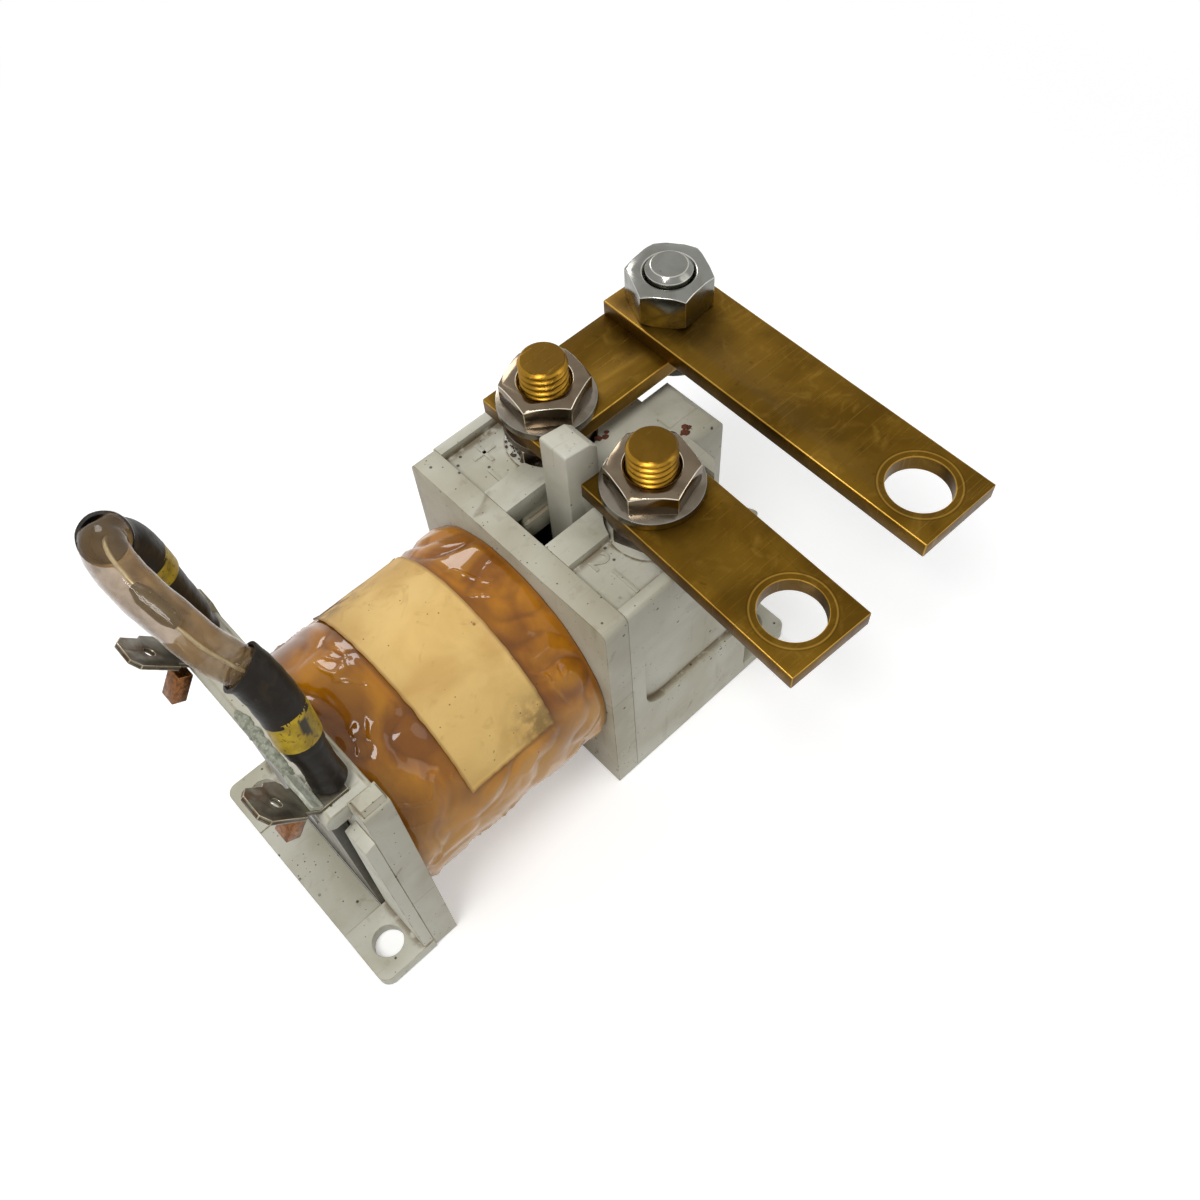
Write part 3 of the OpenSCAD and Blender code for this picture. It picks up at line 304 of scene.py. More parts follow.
@dataclass(frozen=True)
class AgedPlastic(Recipe):
    """Pale moulding that has yellowed, with dark specks, grime, painted shade in its inside corners and fine
    scratches.

    A seam is a level line between two places along X.
    """

    light: Color = srgb(196, 194, 179)
    warm: Color = srgb(175, 171, 151)
    # grime colour, also laid in inside corners as painted shade
    grime_and_shade: Color = srgb(104, 85, 56)
    grime_level: float = 0.64
    seams: tuple[Point, ...] = ()
    scratched: Color = srgb(146, 138, 118)
    speck: Color = srgb(46, 38, 29)

    def paint(self, t: ShaderTree) -> dict:
        """Sockets of the plastic."""
        blotch = t.noise(5, 6, 0.8).step(self.grime_level, self.grime_level + 0.16)
        runs = t.streaks((2.2, 2.2, 16), 3).step(0.6, 0.74)
        # painted shade: inside corners darkened in the grime colour, broken up by noise
        corner = t.corners(2.2).step(0.1, 0.32) * t.noise(1.8, 4).step(0.26, 0.5)
        marks = t.scratches(0.35, 9, 0.9, 0.67) + t.scratches(0.3, 12, -0.4, 0.69)
        specks = t.dots(1.1, 0.13, 4.5, 0.5) + t.dots(3.2, 0.28, 8, 0.47)
        for level, x0, x1 in self.seams:
            along = t.x.step(x0, x0 + 0.1) * (1 - t.x.step(x1, x1 + 0.1))
            specks += t.line(t.z - level, 0.07) * along * 0.55
        specks = specks.math("MINIMUM", 1.0)
        color = t.mix(t.noise(16, 4, 0.4).step(0.35, 0.7), self.light, self.warm)
        relief = t.noise(0.5, 3) * 0.35 + t.noise(7, 2) * 0.65 - marks * 0.1 - specks * 0.25
        return dict(
            Base_Color=t.over(color, (blotch * 0.45, self.grime_and_shade), (runs * 0.16, self.grime_and_shade),
                              (corner * 0.85, self.grime_and_shade), (marks * 0.22, self.scratched), (specks * 0.9, self.speck)),
            Roughness=t.noise(3, 3) * 0.18 + 0.4 + blotch * 0.2, Specular_IOR_Level=0.4, Normal=t.bump(relief, 0.12))


@dataclass(frozen=True)
class TarnishedBrass(Recipe):
    """Brass that has gone olive brown, with clouds, rubbed places, scratches and washer prints.

    Prints lie round upright lines, and a crown is dark above its level.
    """

    dark: Color = srgb(84, 60, 14)
    mid: Color = srgb(108, 80, 23)
    bright: Color = srgb(176, 138, 60)
    roughness: float = 0.34
    prints: tuple[Span, ...] = ()
    print_radius: float = 6.3
    crown: float | None = None
    stained: Color = srgb(50, 36, 14)

    def paint(self, t: ShaderTree) -> dict:
        """Sockets of the brass."""
        marks = t.scratches(0.1, 14, 0.35, 0.66) + t.scratches(0.09, 10, 1.25, 0.69)
        stain = t.noise(1.6, 4).step(0.64, 0.74) * 0.45 + t.dots(3.1, 0.13, 5, 0.5)
        color = t.over(t.mix(t.noise(11, 5, 0.6).step(0.3, 0.7), self.dark, self.mid),
                       (t.noise(4.5, 6, 1.2).step(0.52, 0.8) * 0.2, self.bright), (marks * 0.16, self.bright))
        for x, y in self.prints:
            away = t.away(x, y)
            worn = away.step(self.print_radius, self.print_radius - 0.3) * t.noise(1.2, 3).step(0.3, 0.6)
            color = t.over(color, (worn * 0.3, self.dark),
                           (t.line(away - self.print_radius, 0.13) * 0.4, self.bright))
            stain += t.line(away - self.print_radius - 0.28, 0.12) * 0.4
        if self.crown is not None:
            color = t.mix(t.z.step(self.crown, self.crown + 0.1) * 0.85, color, self.dark)
        stain = stain.math("MINIMUM", 1.0)
        relief = t.noise(0.7, 4) * 0.5 - marks * 0.3 - stain * 0.15
        return dict(Base_Color=t.mix(stain * 0.7, color, self.stained), Metallic=1.0,
                    Roughness=self.roughness + t.noise(2.2, 4) * 0.2 + stain * 0.15 - marks * 0.08,
                    Normal=t.bump(relief, 0.03))


@dataclass(frozen=True)
class PlatedSteel(Recipe):
    """Plated steel with a little brown tarnish and a few pits."""

    plate: Color = srgb(116, 103, 86)
    tarnish: Color = srgb(70, 55, 40)
    mottle: float = 0.5
    roughness: float = 0.14
    pitted: Color = srgb(48, 34, 22)

    def paint(self, t: ShaderTree) -> dict:
        """Sockets of the steel."""
        cloud = t.noise(4.2, 4, 0.6).step(0.38, 0.72)
        pits = t.dots(1.2, 0.12, 2.5, 0.56)
        return dict(Base_Color=t.over(self.plate, (cloud * self.mottle, self.tarnish), (pits * 0.75, self.pitted)),
                    Metallic=1.0, Roughness=self.roughness + cloud * 0.14 + pits * 0.3,
                    Normal=t.bump(t.noise(1.1, 3) * 0.4 - pits * 0.4, 0.02))


@dataclass(frozen=True)
class FoldedTab(Recipe):
    """Tinned brass sheet folded double: olive grey, brown at the tip, a dark line between its layers."""

    tone: Color = srgb(122, 116, 102)
    shade: Color = srgb(88, 82, 70)
    browned: Color = srgb(88, 58, 30)
    slit: Color = srgb(36, 30, 22)
    pitted: Color = srgb(52, 44, 34)
    bend_x: float = -42.5
    level: float = 55.6
    tilt: float = math.radians(54)
    half: float = 0.4
    tip: float = -47.3

    def paint(self, t: ShaderTree) -> dict:
        """Sockets of the tab."""
        brown = t.noise(2.4, 4, 0.5).step(0.42, 0.66) * (1 - t.x.step(self.tip, self.tip + 4.2))
        depth = (t.x - self.bend_x) * math.sin(self.tilt) + (t.z - self.level) * math.cos(self.tilt)
        gap = t.line(depth - self.half, 0.06)
        pits = t.dots(0.9, 0.09, 2, 0.5)
        color = t.mix(t.noise(3.2, 5, 0.7).step(0.34, 0.7), self.tone, self.shade)
        return dict(Base_Color=t.over(color, (brown * 0.75, self.browned), (gap * 0.85, self.slit),
                                      (pits * 0.6, self.pitted)),
                    Metallic=0.9, Roughness=0.34 + t.noise(1.5, 4) * 0.2 + brown * 0.15,
                    Normal=t.bump(t.noise(0.8, 4) * 0.5 - pits * 0.3 - gap, 0.04))


@dataclass(frozen=True)
class DarkSteel(Recipe):
    """Mill steel with a dark oxide skin and brown spots."""

    skin: Color = srgb(96, 93, 87)
    worn: Color = srgb(146, 142, 132)
    rusted: Color = srgb(90, 62, 38)

    def paint(self, t: ShaderTree) -> dict:
        """Sockets of the steel."""
        rust = t.noise(2.1, 5).step(0.66, 0.74)
        drawn = t.streaks((2.5, 1.2, 14), 4).step(0.46, 0.72)
        return dict(Base_Color=t.over(self.skin, (drawn, self.worn), (rust * 0.6, self.rusted)), Metallic=0.9,
                    Roughness=0.3 + t.noise(1.4, 3) * 0.2 + rust * 0.25, Normal=t.bump(t.noise(0.5, 4), 0.03))


@dataclass(frozen=True)
class AmberFilm(Recipe):
    """Creased adhesive film over copper: glossy amber, with painted shade in the hollows, painted highlight on the
    crests and paler on the coil's lower sides.

    The film's mesh carries its height, its share on the coil's lower sides and the distance from its edge.
    """

    tones: tuple[Color, Color] = (srgb(134, 78, 0), srgb(182, 116, 2))
    crest_highlight: Color = srgb(200, 138, 26)
    hollow_shade: Color = srgb(98, 52, 0)
    pale: Color = srgb(202, 152, 76)
    rim: Color = srgb(150, 96, 34)
    speck: Color = srgb(58, 26, 6)

    def paint(self, t: ShaderTree) -> dict:
        """Sockets of the film."""
        height, loose, edge = (t.attribute("film_" + name) for name in ("height", "loose", "edge"))
        # painted highlight on the crests and painted shade in the creases, by the film's height; paler on the coil's
        # lower sides
        color = t.over(t.mix(t.noise(10, 4, 0.7).step(0.34, 0.68), *self.tones),
                       (height.step(0.45, 1.0) * 0.4, self.crest_highlight), ((1 - height.step(0.0, 0.3)) * 0.5, self.hollow_shade),
                       (loose * 0.7, self.pale), ((1 - edge.step(0.0, 1.0)) * 0.6, self.rim),
                       (t.dots(4.4, 0.16, 8, 0.44) * 0.85, self.speck))
        return dict(Base_Color=color, Roughness=0.3, Specular_IOR_Level=0.05, Coat_Weight=0.65,
                    Coat_Roughness=0.02, Normal=t.bump(t.noise(4.2, 1, 0.8), 0.08))


@dataclass(frozen=True)
class OldPaper(Recipe):
    """Yellowed paper with foxing, greasy dirt and a darker rim, partly aged paper and partly painted shadow along its
    edges.
    """

    tones: tuple[Color, Color] = (srgb(226, 190, 118), srgb(206, 166, 96))
    rim: Color = srgb(140, 96, 40)
    fox: Color = srgb(88, 54, 24)
    grease: Color = srgb(172, 128, 66)
    soot: Color = srgb(66, 46, 26)

    def paint(self, t: ShaderTree) -> dict:
        """Sockets of the paper."""
        rim, soot = t.attribute("paper_rim"), t.attribute("paper_soot")
        # darker rim: aged paper edge and painted shadow along the label's edges
        color = t.over(t.mix(t.noise(9, 5, 0.6).step(0.3, 0.72), *self.tones),
                       ((1 - rim.step(0.02, 0.3)) * 0.7, self.rim),
                       ((t.dots(1.5, 0.13, 3.4, 0.5) + t.dots(5.2, 0.3, 9, 0.48)) * 0.75, self.fox),
                       (t.noise(4.2, 5, 1.5).step(0.56, 0.76) * 0.35, self.grease),
                       (soot * t.noise(2.4, 4).step(0.36, 0.6) * 0.9, self.soot))
        return dict(Base_Color=color, Roughness=0.5 + t.noise(2, 2) * 0.15, Specular_IOR_Level=0.35,
                    Normal=t.bump(t.noise(0.4, 4) * 0.4 + t.noise(5, 2) * 0.6, 0.07))


@dataclass(frozen=True)
class ShrinkSleeve(Recipe):
    """Brown-black sleeve with a soft gloss, dusty and rubbed."""

    tone: Color = srgb(27, 22, 16)
    dust: Color = srgb(60, 50, 36)
    rubbed: Color = srgb(104, 88, 66)

    def paint(self, t: ShaderTree) -> dict:
        """Sockets of the sleeve."""
        dust = t.noise(2.2, 5, 0.6).step(0.5, 0.78)
        color = t.over(self.tone, (dust * 0.5, self.dust), (t.dots(1.4, 0.14, 3, 0.56) * 0.4, self.rubbed))
        return dict(Base_Color=color, Roughness=0.42 + dust * 0.25, Specular_IOR_Level=0.2,
                    Normal=t.bump(t.noise(1.4, 4, 0.6), 0.08))


@dataclass(frozen=True)
class MarkedBand(Recipe):
    """Dirty yellow marker tube with worn dark specks and one plain dark block."""

    tones: tuple[Color, Color] = (srgb(190, 160, 30), srgb(138, 112, 22))
    speck: Color = srgb(62, 52, 20)
    block: Color = srgb(44, 36, 20)

    def paint(self, t: ShaderTree) -> dict:
        """Sockets of the band."""
        color = t.over(t.mix(t.noise(2.6, 4).step(0.36, 0.7), *self.tones),
                       (t.noise(0.5, 3).step(0.58, 0.66) * 0.7, self.speck), (t.attribute("band_block"), self.block))
        return dict(Base_Color=color, Roughness=0.45, Specular_IOR_Level=0.4, Normal=t.bump(t.noise(0.9, 3), 0.06))


@dataclass(frozen=True)
class ClearSleeve(Recipe):
    """Clear brown tubing that shows the wires in it, denser on the side away from the viewer, with painted shadow at
    its near end and painted shade in its far fold.
    """

    tones: tuple[Color, Color] = (srgb(184, 148, 96), srgb(124, 92, 50))
    # colour of the painted shadow and shade
    dark: Color = srgb(40, 28, 14)

    def paint(self, t: ShaderTree) -> dict:
        """Sockets of the tubing."""
        tint = t.noise(3.2, 4, 0.8).step(0.3, 0.72)
        # painted shadow where the near end sits in the black sleeve's mouth, and painted shade in the far fold's
        # crease
        dark = t.attribute("tube_dark")
        haze = (tint * 0.12 + 0.22 + t.attribute("tube_back") * 0.5 + dark * 0.35).math("MINIMUM", 0.9)
        return dict(Base_Color=t.over(t.mix(tint, *self.tones), (dark, self.dark)), Roughness=0.12, Alpha=haze,
                    Specular_IOR_Level=0.25, Coat_Weight=0.8, Coat_Roughness=0.03,
                    Normal=t.bump(t.noise(3.0, 1, 0.5), 0.06))


@dataclass(frozen=True)
class Rough(Recipe):
    """Matt lumpy matter in two tones, such as adhesive, solder, rust or soot."""

    one: Color
    two: Color
    spot: Color
    size: float = 1.2
    metallic: float = 0.0
    roughness: float = 0.6
    relief: float = 0.15

    def paint(self, t: ShaderTree) -> dict:
        """Sockets of the matter."""
        color = t.over(self.one, (t.noise(self.size, 5, 0.5).step(0.35, 0.68), self.two),
                       (t.noise(self.size * 0.4, 3).step(0.62, 0.7) * 0.7, self.spot))
        return dict(Base_Color=color, Metallic=self.metallic,
                    Roughness=self.roughness + t.noise(self.size, 2) * 0.15,
                    Normal=t.bump(t.noise(self.size * 0.6, 4), self.relief))


class Finish(Enum):
    """Every finish of the relay, with its recipe."""

    MOULDING = AgedPlastic("aged_moulding")
    BOBBIN = AgedPlastic("aged_bobbin", srgb(190, 187, 170), srgb(166, 160, 138), grime_level=0.6,
                         seams=((29.0, 4.4, 9.2), (22.0, -39.2, -34.4)))
    CARRIER = AgedPlastic("aged_carrier", srgb(204, 202, 188), srgb(184, 180, 162), grime_level=0.68)
    PLASTIC_EDGE = AgedPlastic("worn_edge", srgb(192, 187, 166), srgb(128, 112, 82), grime_level=0.48)
    YOKE = DarkSteel("aged_yoke")
    CORE = DarkSteel("aged_core", srgb(140, 138, 132), srgb(176, 174, 168))
    COPPER = Rough("copper_winding", srgb(150, 84, 44), srgb(184, 106, 58), srgb(96, 52, 30), 0.8, 1.0, 0.3, 0.05)
    FILM = AmberFilm("amber_film")
    PAPER = OldPaper("old_paper")
    SPRING = PlatedSteel("aged_spring", srgb(160, 158, 154), srgb(116, 110, 100))
    CONTACT_BRASS = TarnishedBrass("aged_contact", srgb(150, 112, 44), srgb(184, 142, 62), srgb(214, 176, 92))
    SILVER = PlatedSteel("contact_silver", srgb(214, 212, 206), srgb(150, 144, 132))
    STUD = TarnishedBrass("aged_stud", srgb(94, 68, 20), srgb(166, 124, 40), srgb(226, 182, 84), 0.22, crown=68.8)
    BAR = TarnishedBrass("aged_bar")
    # bar edges: rubbed brass, lightened further as a painted highlight
    BAR_EDGE_WORN_AND_HIGHLIGHT = TarnishedBrass("bar_edge_worn_and_highlight", srgb(140, 106, 40), srgb(176, 136, 58), srgb(214, 178, 98), 0.26)
    NUT = PlatedSteel("nut_plate")
    # nut chamfers: plated steel with a little tarnish, painted near white as a highlight
    NUT_EDGE_HIGHLIGHT = PlatedSteel("nut_edge_highlight", srgb(226, 216, 196), srgb(158, 144, 120), 0.4, 0.12)
    WASHER = PlatedSteel("washer_plate", srgb(126, 118, 106), srgb(84, 72, 56), 0.6, 0.2)
    CORRODED = PlatedSteel("corroded_plate", srgb(104, 92, 82), srgb(52, 40, 34), 1.0, 0.3)
    ZINC = PlatedSteel("zinc_plate", srgb(132, 132, 126), srgb(98, 96, 88), 0.5, 0.16)
    ZINC_EDGE = PlatedSteel("zinc_edge", srgb(190, 188, 180), srgb(140, 138, 128), 0.5, 0.16)
    TAB = FoldedTab("aged_tab")
    TAB_EDGE = PlatedSteel("tab_edge", srgb(178, 168, 146), srgb(104, 92, 72), 0.7, 0.25)
    LUG = Rough("copper_lug", srgb(138, 92, 54), srgb(100, 66, 42), srgb(60, 42, 28), 0.9, 1.0, 0.22, 0.05)
    ADHESIVE = Rough("crusty_adhesive", srgb(150, 152, 134), srgb(112, 116, 98), srgb(186, 188, 170), 0.7,
                     roughness=0.3)
    TAPE = Rough("dirty_tape", srgb(190, 192, 178), srgb(158, 160, 142), srgb(120, 112, 88), 1.4, roughness=0.35)
    FOOT_RESIN = Rough("brown_resin", srgb(112, 88, 48), srgb(70, 54, 32), srgb(176, 150, 92), 0.6, roughness=0.3)
    SLEEVE = ShrinkSleeve("shrink_sleeve")
    BAND = MarkedBand("marker_band")
    CLEAR = ClearSleeve("clear_sleeve")
    SOLDER = Rough("aged_solder", srgb(58, 52, 34), srgb(34, 30, 20), srgb(132, 126, 98), 1.4, 0.3, 0.35, 0.1)
    WIRE = Rough("tinned_wire", srgb(208, 192, 152), srgb(180, 162, 120), srgb(150, 128, 84), 1.0, 0.4, 0.25, 0.03)
    SOOT = Rough("dark_crust", srgb(70, 54, 40), srgb(40, 30, 24), srgb(120, 104, 88), 0.5, 0.3, 0.4, 0.2)
    RUST = Rough("rust_flake", srgb(112, 58, 28), srgb(74, 36, 18), srgb(48, 24, 14), 0.5, 0.0, 0.75, 0.2)

    @cache
    def material(self) -> bpy.types.Material:
        """The finish's material, built once."""
        return self.value.material()


def link(item: Piece) -> Piece:
    """Links an object to the scene and gives it back."""
    bpy.context.scene.collection.objects.link(item)
    return item


def store(name: str, mesh: bpy.types.Mesh) -> Piece:
    """Object at the origin with a mesh of its own name."""
    mesh.name = name
    return link(bpy.data.objects.new(name, mesh))


def modify(piece: Piece, kind: str, **settings: object) -> None:
    """Adds a modifier with its settings."""
    modifier = piece.modifiers.new(kind.lower(), kind)
    for name, setting in settings.items():
        setattr(modifier, name, setting)


def evaluated(item: Piece) -> bpy.types.Mesh:
    """Plain mesh of what an object looks like with its modifiers."""
    return bpy.data.meshes.new_from_object(item.evaluated_get(bpy.context.evaluated_depsgraph_get()))


def settle(piece: Piece, sharp: float = SHARP_ANGLE) -> Piece:
    """Applies the piece's modifiers, so that a plain mesh is left.

    Args:
        piece: Object with modifiers.
        sharp: Angle above which an edge stays crisp.

    Returns:
        The same object.
    """
    mesh, old = evaluated(piece), piece.data
    piece.modifiers.clear()
    piece.data = mesh
    bpy.data.meshes.remove(old)
    mesh.name = piece.name
    mesh.shade_smooth()
    mesh.set_sharp_from_angle(angle=sharp)
    return piece


def place(piece: Piece, body: str, slot: str, *nodes: str) -> None:
    """Puts a finished piece on its body, hides the CAD nodes that it replaces and logs its face count.

    Args:
        piece: The piece.
        body: Body that it rides on.
        slot: Material slot of the record; not used.
        nodes: CAD nodes that it replaces.
    """
    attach(piece, body)
    if nodes:
        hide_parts(*nodes)
    log.info("%s: %d faces on %s", piece.name, len(piece.data.polygons), body)


def write_attribute(mesh: bpy.types.Mesh, name: str, values: list[float]) -> None:
    """Stores one number per point of a mesh for its material."""
    mesh.attributes.new(name, "FLOAT", "POINT").data.foreach_set("value", list(values))


def skin(name: str, rows: Rows, finish: Finish, closed: bool = True, outwards: bool = True,
         **attributes: list[float]) -> Piece:
    """Piece made of rows of points.

    Args:
        name: Name of the piece.
        rows: Points in millimetres, row by row.
        finish: Its finish.
        closed: Whether each row joins up with itself.
        outwards: Whether its faces are turned outwards.
        attributes: Numbers per point for the finish.

    Returns:
        The piece, in metres.
    """
    count = len(rows[0])
    span = count if closed else count - 1
    faces = [(i * count + j, i * count + (j + 1) % count, (i + 1) * count + (j + 1) % count, (i + 1) * count + j)
             for i in range(len(rows) - 1) for j in range(span)]
    mesh = bpy.data.meshes.new(name)
    mesh.from_pydata([[c * MM for c in point] for row in rows for point in row], [], faces)
    for key, values in attributes.items():
        write_attribute(mesh, key, values)
    mesh.materials.append(finish.material())
    if outwards:
        shape = bmesh.new()
        shape.from_mesh(mesh)
        bmesh.ops.recalc_face_normals(shape, faces=shape.faces)
        shape.to_mesh(mesh)
        shape.free()
    return store(name, mesh)


def join(name: str, pieces: list[Piece]) -> Piece:
    """Makes one piece of several plain meshes, keeping their materials.

    Args:
        name: Name of the joined piece.
        pieces: The parts, which are removed.

    Returns:
        The joined piece.
    """
    shape = bmesh.new()
    mesh = bpy.data.meshes.new(name)
    for piece in pieces:
        start, offset, old = len(shape.faces), len(mesh.materials), piece.data
        shape.from_mesh(old)
        shape.faces.ensure_lookup_table()
        for material in old.materials:
            mesh.materials.append(material)
        for face in shape.faces[start:]:
            face.material_index += offset
        bpy.data.objects.remove(piece)
        bpy.data.meshes.remove(old)
    shape.to_mesh(mesh)
    shape.free()
    return store(name, mesh)


def rounded(frame: dict, node: str, width: float, finish: "Finish | Recipe", edge: Finish | None = None) -> Piece:
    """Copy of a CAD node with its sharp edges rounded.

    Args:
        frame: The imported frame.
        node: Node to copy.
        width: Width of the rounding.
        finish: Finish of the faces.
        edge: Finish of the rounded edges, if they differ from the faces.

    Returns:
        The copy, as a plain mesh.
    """
    mesh = frame["nodes"][node].data.copy()
    mesh.materials.clear()
    for item in (finish, edge) if edge else (finish,):
        mesh.materials.append(item.material())
    shape = bmesh.new()
    shape.from_mesh(mesh)
    bmesh.ops.remove_doubles(shape, verts=shape.verts, dist=0.002 * MM)
    bmesh.ops.dissolve_limit(shape, angle_limit=FLAT_ANGLE, verts=shape.verts, edges=shape.edges)
    for face in shape.faces:
        face.material_index = 0
    shape.to_mesh(mesh)
    shape.free()
    for name in [layer.name for layer in mesh.uv_layers]:
        mesh.uv_layers.remove(mesh.uv_layers[name])
    piece = store(node + "_dressed", mesh)
    modify(piece, "BEVEL", width=width * MM, segments=2, limit_method="ANGLE", angle_limit=SHARP_ANGLE,
           use_clamp_overlap=True, miter_outer="MITER_ARC", material=1 if edge else -1)
    modify(piece, "WEIGHTED_NORMAL", keep_sharp=True)
    return settle(piece)


def dress(frame: dict, slot: str, width: float, finish: "Finish | Recipe", edge: Finish | None, *nodes: str) -> None:
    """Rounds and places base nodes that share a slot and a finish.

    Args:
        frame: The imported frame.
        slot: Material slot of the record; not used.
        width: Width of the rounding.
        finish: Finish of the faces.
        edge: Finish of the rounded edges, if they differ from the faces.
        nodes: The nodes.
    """
    for node in nodes:
        place(rounded(frame, node, width, finish, edge), BASE, slot, node)


class GeometryTree(Tree):
    """Geometry Nodes tree with named inputs."""

    def __init__(self, name: str) -> None:
        """Makes an empty tree with a geometry input and output."""
        super().__init__(bpy.data.node_groups.new(name, "GeometryNodeTree"))
        for side in ("INPUT", "OUTPUT"):
            self.tree.interface.new_socket("Geometry", in_out=side, socket_type="NodeSocketGeometry")
        self.source = self.tree.nodes.new("NodeGroupInput")
        self.result = self.tree.nodes.new("NodeGroupOutput")

    def numbers(self, **defaults: float) -> list[Value]:
        """Adds named inputs, with underscores for spaces.

        Args:
            defaults: Their defaults; a whole number makes a whole input.

        Returns:
            Their values.
        """
        values = []
        for key, default in defaults.items():
            name = key.replace("_", " ")
            kind = "NodeSocketInt" if isinstance(default, int) else "NodeSocketFloat"
            self.tree.interface.new_socket(name, in_out="INPUT", socket_type=kind).default_value = default
            values.append(Value(self, self.source.outputs[name]))
        return values

    def geometry(self, kind: str, inputs: dict | None = None) -> Socket:
        """First output of a new geometry node."""
        return self.node("GeometryNode" + kind, inputs=inputs).outputs[0]

    def lumps(self, scale: "Value | float", detail: float, amount: "Value | float") -> Socket:
        """Push along the normal by noise of a scale and detail, times an amount."""
        clouds = self.node("ShaderNodeTexNoise", inputs={"Scale": scale, "Detail": detail})
        return self.scaled(self.geometry("InputNormal"), (Value(self, clouds.outputs["Fac"]) - 0.5) * amount)

    def finish(self, geometry: Socket, finish: Finish) -> None:
        """Ends the tree in Realize Instances and Set Material."""
        real = self.geometry("RealizeInstances", {"Geometry": geometry})
        dressed = self.geometry("SetMaterial", {"Geometry": real, "Material": finish.material()})
        self.tree.links.new(dressed, self.result.inputs[0])

    def apply(self, piece: Piece, **inputs: float) -> None:
        """Adds the tree to a piece.

        Args:
            piece: The object.
            inputs: Values of the tree's inputs, named with underscores for spaces.
        """
        modifier = piece.modifiers.new(self.tree.name, "NODES")
        modifier.node_group = self.tree
        names = {item.name: item.identifier for item in self.tree.interface.items_tree}
        for name, number in inputs.items():
            modifier[names[name.replace("_", " ")]] = number


def threaded_rod_tree(finish: Finish) -> GeometryTree:
    """Tree that turns nothing into a threaded rod along Z with a chamfered flat top.

    Args:
        finish: Finish of the rod.

    Returns:
        The tree; its inputs are in metres.
    """
    tree = GeometryTree("threaded_rod")
    length, radius, pitch, depth, chamfer, plain, rows, sides = tree.numbers(
        Length=0.02, Radius=0.004, Pitch=0.00125, Depth=0.0007, Chamfer=0.0008, Plain_foot=0.003, Rows=260, Sides=64)
    grid = tree.geometry("MeshGrid", {"Size X": 1.0, "Size Y": 1.0, "Vertices X": rows, "Vertices Y": sides})
    spot = tree.node("ShaderNodeSeparateXYZ", inputs={0: tree.geometry("InputPosition")})
    run = (Value(tree, spot.outputs[0]) + 0.5) * (length + radius * 2)
    turn = Value(tree, spot.outputs[1]) + 0.5
    height = (run - radius).math("MINIMUM", length).math("MAXIMUM", 0.0)
    phase = (height / pitch - turn).math("FRACT")
    flank = ((phase - 0.5).math("ABSOLUTE") * 2.6 - 0.35).math("MINIMUM", 1.0).math("MAXIMUM", 0.0)
    cut = flank * depth * (height - plain).math("GREATER_THAN", 0.0)
    reach = radius - cut
    for less in (height - length + chamfer, radius - run, run - radius - length):
        reach = reach.math("MINIMUM", radius - less.math("MAXIMUM", 0.0))
    reach = reach.math("MAXIMUM", 0.0)
    angle = turn * math.tau
    spread = tree.node("ShaderNodeCombineXYZ", inputs={
        0: reach * angle.math("COSINE"), 1: reach * angle.math("SINE"), 2: height})
    moved = tree.geometry("SetPosition", {"Geometry": grid, "Position": spread.outputs[0]})
    tree.finish(tree.geometry("MergeByDistance", {"Geometry": moved, "Distance": 1e-6}), finish)
    return tree


def sleeve_tree(finish: Finish) -> GeometryTree:
    """Tree that sweeps a wrinkled tube along the object's chain of points.

    Args:
        finish: Finish of the tube.

    Returns:
        The tree; it reads the radius of each point from the attribute tube_radius.
    """
    tree = GeometryTree("sleeve_" + finish.value.name)
    sides, wrinkle, scale, caps = tree.numbers(Sides=28, Wrinkle=0.0002, Wrinkle_scale=400.0, Caps=1)
    radius = tree.node("GeometryNodeInputNamedAttribute", {"data_type": "FLOAT"}, {"Name": "tube_radius"})
    tube = tree.geometry("CurveToMesh", {
        "Curve": tree.geometry("MeshToCurve", {"Mesh": tree.source.outputs["Geometry"]}),
        "Profile Curve": tree.geometry("CurvePrimitiveCircle", {"Resolution": sides, "Radius": 1.0}),
        "Scale": radius.outputs["Attribute"], "Fill Caps": caps})
    tree.finish(tree.geometry("SetPosition", {"Geometry": tube, "Offset": tree.lumps(scale, 2.0, wrinkle)}), finish)
    return tree


def grain_tree(finish: Finish) -> GeometryTree:
    """Tree that strews flattened grains over the object's faces.

    Args:
        finish: Finish of the grains.

    Returns:
        The tree; sizes are in metres and the seed is fixed by its input.
    """
    tree = GeometryTree("grains_" + finish.value.name)
    density, small, large, seed = tree.numbers(Density=1e6, Smallest=0.0001, Largest=0.0004, Seed=1)
    points = tree.node("GeometryNodeDistributePointsOnFaces", inputs={
        "Mesh": tree.source.outputs["Geometry"], "Density": density, "Seed": seed})
    ball = tree.geometry("MeshIcoSphere", {"Radius": 1.0, "Subdivisions": 2})
    rock = tree.geometry("SetPosition", {"Geometry": ball, "Offset": tree.lumps(1.1, 1.0, 1.1)})
    size = tree.node("FunctionNodeRandomValue", {"data_type": "FLOAT"}, {2: small, 3: large, "Seed": seed})
    amount = Value(tree, size.outputs[1])
    flat = tree.node("ShaderNodeCombineXYZ", inputs={0: amount, 1: amount * 0.8, 2: amount * 0.45})
    tree.finish(tree.geometry("InstanceOnPoints", {
        "Points": points.outputs["Points"], "Instance": rock, "Rotation": points.outputs["Rotation"],
        "Scale": flat.outputs[0]}), finish)
    return tree


